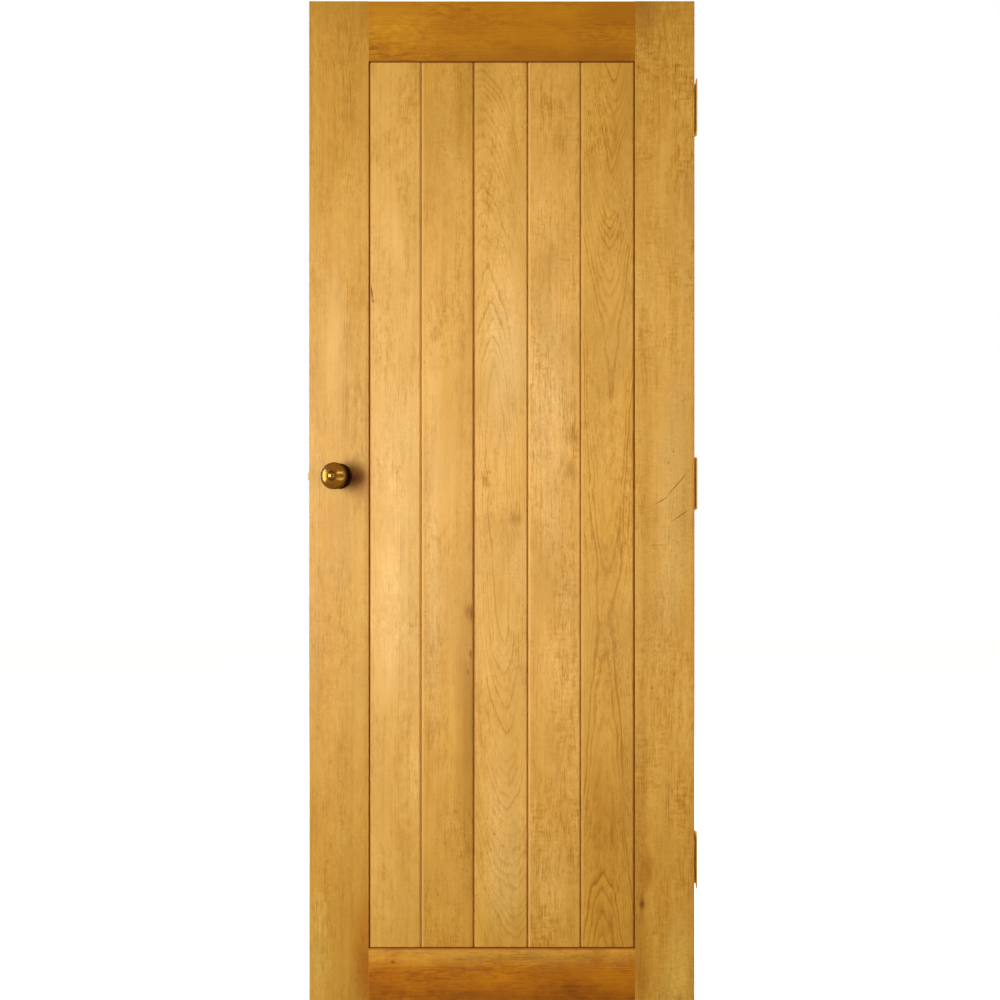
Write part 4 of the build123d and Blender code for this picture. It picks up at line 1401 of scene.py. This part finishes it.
@dataclass
class Studio:
    """Pale floor, white surround, soft light mostly from the left, cards for the brass, and the camera."""

    face_y: float = -0.020
    frame_width: float = 1.9767
    frame_centre_x: float = -0.0035
    frame_centre_z: float = 0.995
    camera_x: float = 0.283
    camera_distance: float = 2.2
    sensor: float = 36.0
    floor_half: float = 6.0
    floor_drop: float = 8 * MM
    floor_lift: float = 0.92
    floor_grey: float = 0.85
    fill: float = 0.15
    fill_colour: str = "#FFD9AC"
    room_half: float = 3.0
    room_height: float = 3.2
    room_colour: str = "#B0844C"
    room_level: float = 1.3
    lamps: tuple[SoftBox, ...] = (
        SoftBox("key", (-1.50, -1.90, 1.06), (-0.05, 0.0, 1.02), 0.6, 1.0, 42.0),
        SoftBox("front", (-0.55, -1.60, 1.06), (-0.05, 0.0, 1.02), 0.9, 0.8, 9.0, mirrored=False),
        SoftBox("side", (1.7, -1.5, 1.06), (-0.2, 0.0, 1.04), 1.3, 0.3, 6.0, mirrored=False),
        SoftBox("right", (2.3, 0.35, 1.3), (0.5, 0.5, 1.0), 0.8, 1.4, 26.0, mirrored=False),
        SoftBox("back_left", (-1.6, 2.0, 1.5), (0.0, 0.0, 1.0), 1.0, 1.4, 44.0),
        SoftBox("back_right", (1.4, 2.2, 1.3), (0.0, 0.0, 1.0), 1.0, 1.4, 34.0),
    )
    cards: tuple[Card, ...] = (
        Card("left_window", (-2.0, -0.10), (-2.0, -0.95), 0.15, 2.1, "#FFF6C4", 3.6),
        Card("left_curtain", (-2.0, -0.95), (-2.0, -1.75), 0.35, 1.8, "#FFF2BC", 1.7),
        Card("right_upper", (0.40, -1.82), (1.70, -0.35), 1.54, 1.95, "#FFF2D0", 2.5),
        Card("right_edge", (2.2, -0.40), (2.2, 1.10), 0.10, 2.1, "#FFF4DC", 0.9),
        Card("right_lower", (0.40, -1.82), (1.70, -0.35), 0.14, 0.54, "#FFF2D0", 2.1),
    )

    def build(self) -> None:
        """Make the whole set."""
        self._camera()
        for lamp in self.lamps:
            lamp.build()
        self._world()
        self._floor()
        self._room()
        for card in self.cards:
            self._mirrored(card.name, card.corners(), card.colour, card.level)
        bpy.context.scene.view_settings.view_transform = "Standard"

    def _camera(self) -> None:
        """Camera square to the leaf, right of its middle, shifted so that the leaf stays in frame."""
        data = bpy.data.cameras.new("camera")
        camera = bpy.data.objects.new("camera", data)
        bpy.context.scene.collection.objects.link(camera)
        data.sensor_width = self.sensor
        data.lens = self.sensor * self.camera_distance / self.frame_width
        data.shift_x = (self.frame_centre_x - self.camera_x) / self.frame_width
        camera.location = (self.camera_x, self.face_y - self.camera_distance, self.frame_centre_z)
        camera.rotation_euler = (math.radians(90), 0, 0)
        bpy.context.scene.camera = camera

    def _world(self) -> None:
        """White where it is seen or mirrored, and a plain fill elsewhere."""
        world = bpy.data.worlds.new("surround")
        world.use_nodes = True
        world.node_tree.nodes.clear()
        bpy.context.scene.world = world
        add = functools.partial(add_node, world.node_tree)
        path = add("ShaderNodeLightPath").node.outputs
        seen = {0: path["Is Camera Ray"], 1: path["Is Glossy Ray"]}
        seen = add("ShaderNodeMath", seen, operation="MAXIMUM")
        seen = add("ShaderNodeMath", {0: seen, 1: path["Is Transmission Ray"]}, operation="MAXIMUM")
        plain = add("ShaderNodeBackground", {"Color": linear(self.fill_colour), "Strength": self.fill})
        white = add("ShaderNodeBackground", {"Color": WHITE, "Strength": 1.0})
        mixed = add("ShaderNodeMixShader", {0: seen, 1: plain, 2: white})
        add("ShaderNodeOutputWorld", {"Surface": mixed})

    def _sheet(self, name: str, corners: list[Point], material: Material) -> Piece:
        """Make one flat four-cornered piece of the set.

        Args:
            name: Name of the piece.
            corners: Its corners in order.
            material: Its finish.

        Returns:
            The piece.
        """
        mesh = bpy.data.meshes.new(name)
        mesh.from_pydata(corners, [], [(0, 1, 2, 3)])
        mesh.materials.append(material)
        sheet = bpy.data.objects.new(name, mesh)
        bpy.context.scene.collection.objects.link(sheet)
        return sheet

    def _floor(self) -> None:
        """Pale floor just under the hanging leaf, lifted to white where the camera sees it unshaded."""
        material = new_material("pale_floor")
        add = functools.partial(add_node, material.node_tree)
        path = add("ShaderNodeLightPath").node.outputs
        grey = self.floor_grey
        matt = add("ShaderNodeBsdfDiffuse", {"Color": (grey, grey, grey, 1.0)})
        seen = add("ShaderNodeMath", {0: path["Is Camera Ray"], 1: self.floor_lift}, operation="MULTIPLY")
        glow = add("ShaderNodeEmission", {"Color": WHITE, "Strength": seen})
        both = add("ShaderNodeAddShader", {0: matt, 1: glow})
        add("ShaderNodeOutputMaterial", {"Surface": both})
        half, low = self.floor_half, -self.floor_drop
        corners = [(-half, -half, low), (half, -half, low), (half, half, low), (-half, half, low)]
        floor = self._sheet("floor", corners, material)
        floor.visible_diffuse = False

    def _mirrored(self, name: str, corners: list[Point], colour: str, level: float) -> None:
        """Hang a sheet that lights nothing and shows only in polished metal and varnish.

        Args:
            name: Name of the sheet.
            corners: Its corners in order.
            colour: Its colour.
            level: Its brightness, where 1 is white.
        """
        material = new_material(f"{name}_cloth")
        add = functools.partial(add_node, material.node_tree)
        cloth = add("ShaderNodeEmission", {"Color": linear(colour), "Strength": level})
        add("ShaderNodeOutputMaterial", {"Surface": cloth})
        sheet = self._sheet(name, corners, material)
        sheet.visible_camera = False
        sheet.visible_diffuse = False
        sheet.visible_shadow = False
        sheet.visible_transmission = False

    def _room(self) -> None:
        """Dim brown walls and ceiling around the set, for the brass to mirror."""
        half, top, low = self.room_half, self.room_height, 0.0
        plan = [(-half, -half), (half, -half), (half, half), (-half, half)]
        for number, (start, end) in enumerate(zip(plan, plan[1:] + plan[:1])):
            wall = Card(f"wall_{number}", start, end, low, top, self.room_colour, self.room_level)
            self._mirrored(wall.name, wall.corners(), wall.colour, wall.level)
        for name, height in (("ceiling", top), ("carpet", low)):
            self._mirrored(name, [(x, y, height) for x, y in plan], self.room_colour, self.room_level)


def main() -> None:
    """Build the dressed door and its set."""
    logging.basicConfig(level=logging.INFO, format="%(name)s: %(message)s")
    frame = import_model()
    nodes = frame["nodes"]
    satin_brass = BrassFinish("satin_brass", "#E8D294", "#A8853E", tarnish=0.35, roughness=0.38).material()
    zinc_plated_steel = SteelFinish("zinc_plated_steel", "#C4C6C8", "#8E9092", roughness=0.3).material()
    OakLeaf().dress(nodes)
    KnobSet().build(nodes, zinc_plated_steel)
    TubularLatch().build(nodes, satin_brass, zinc_plated_steel)
    ButtHinges().build(nodes, satin_brass, zinc_plated_steel)
    Studio().build()


if __name__ == "__main__":
    main()
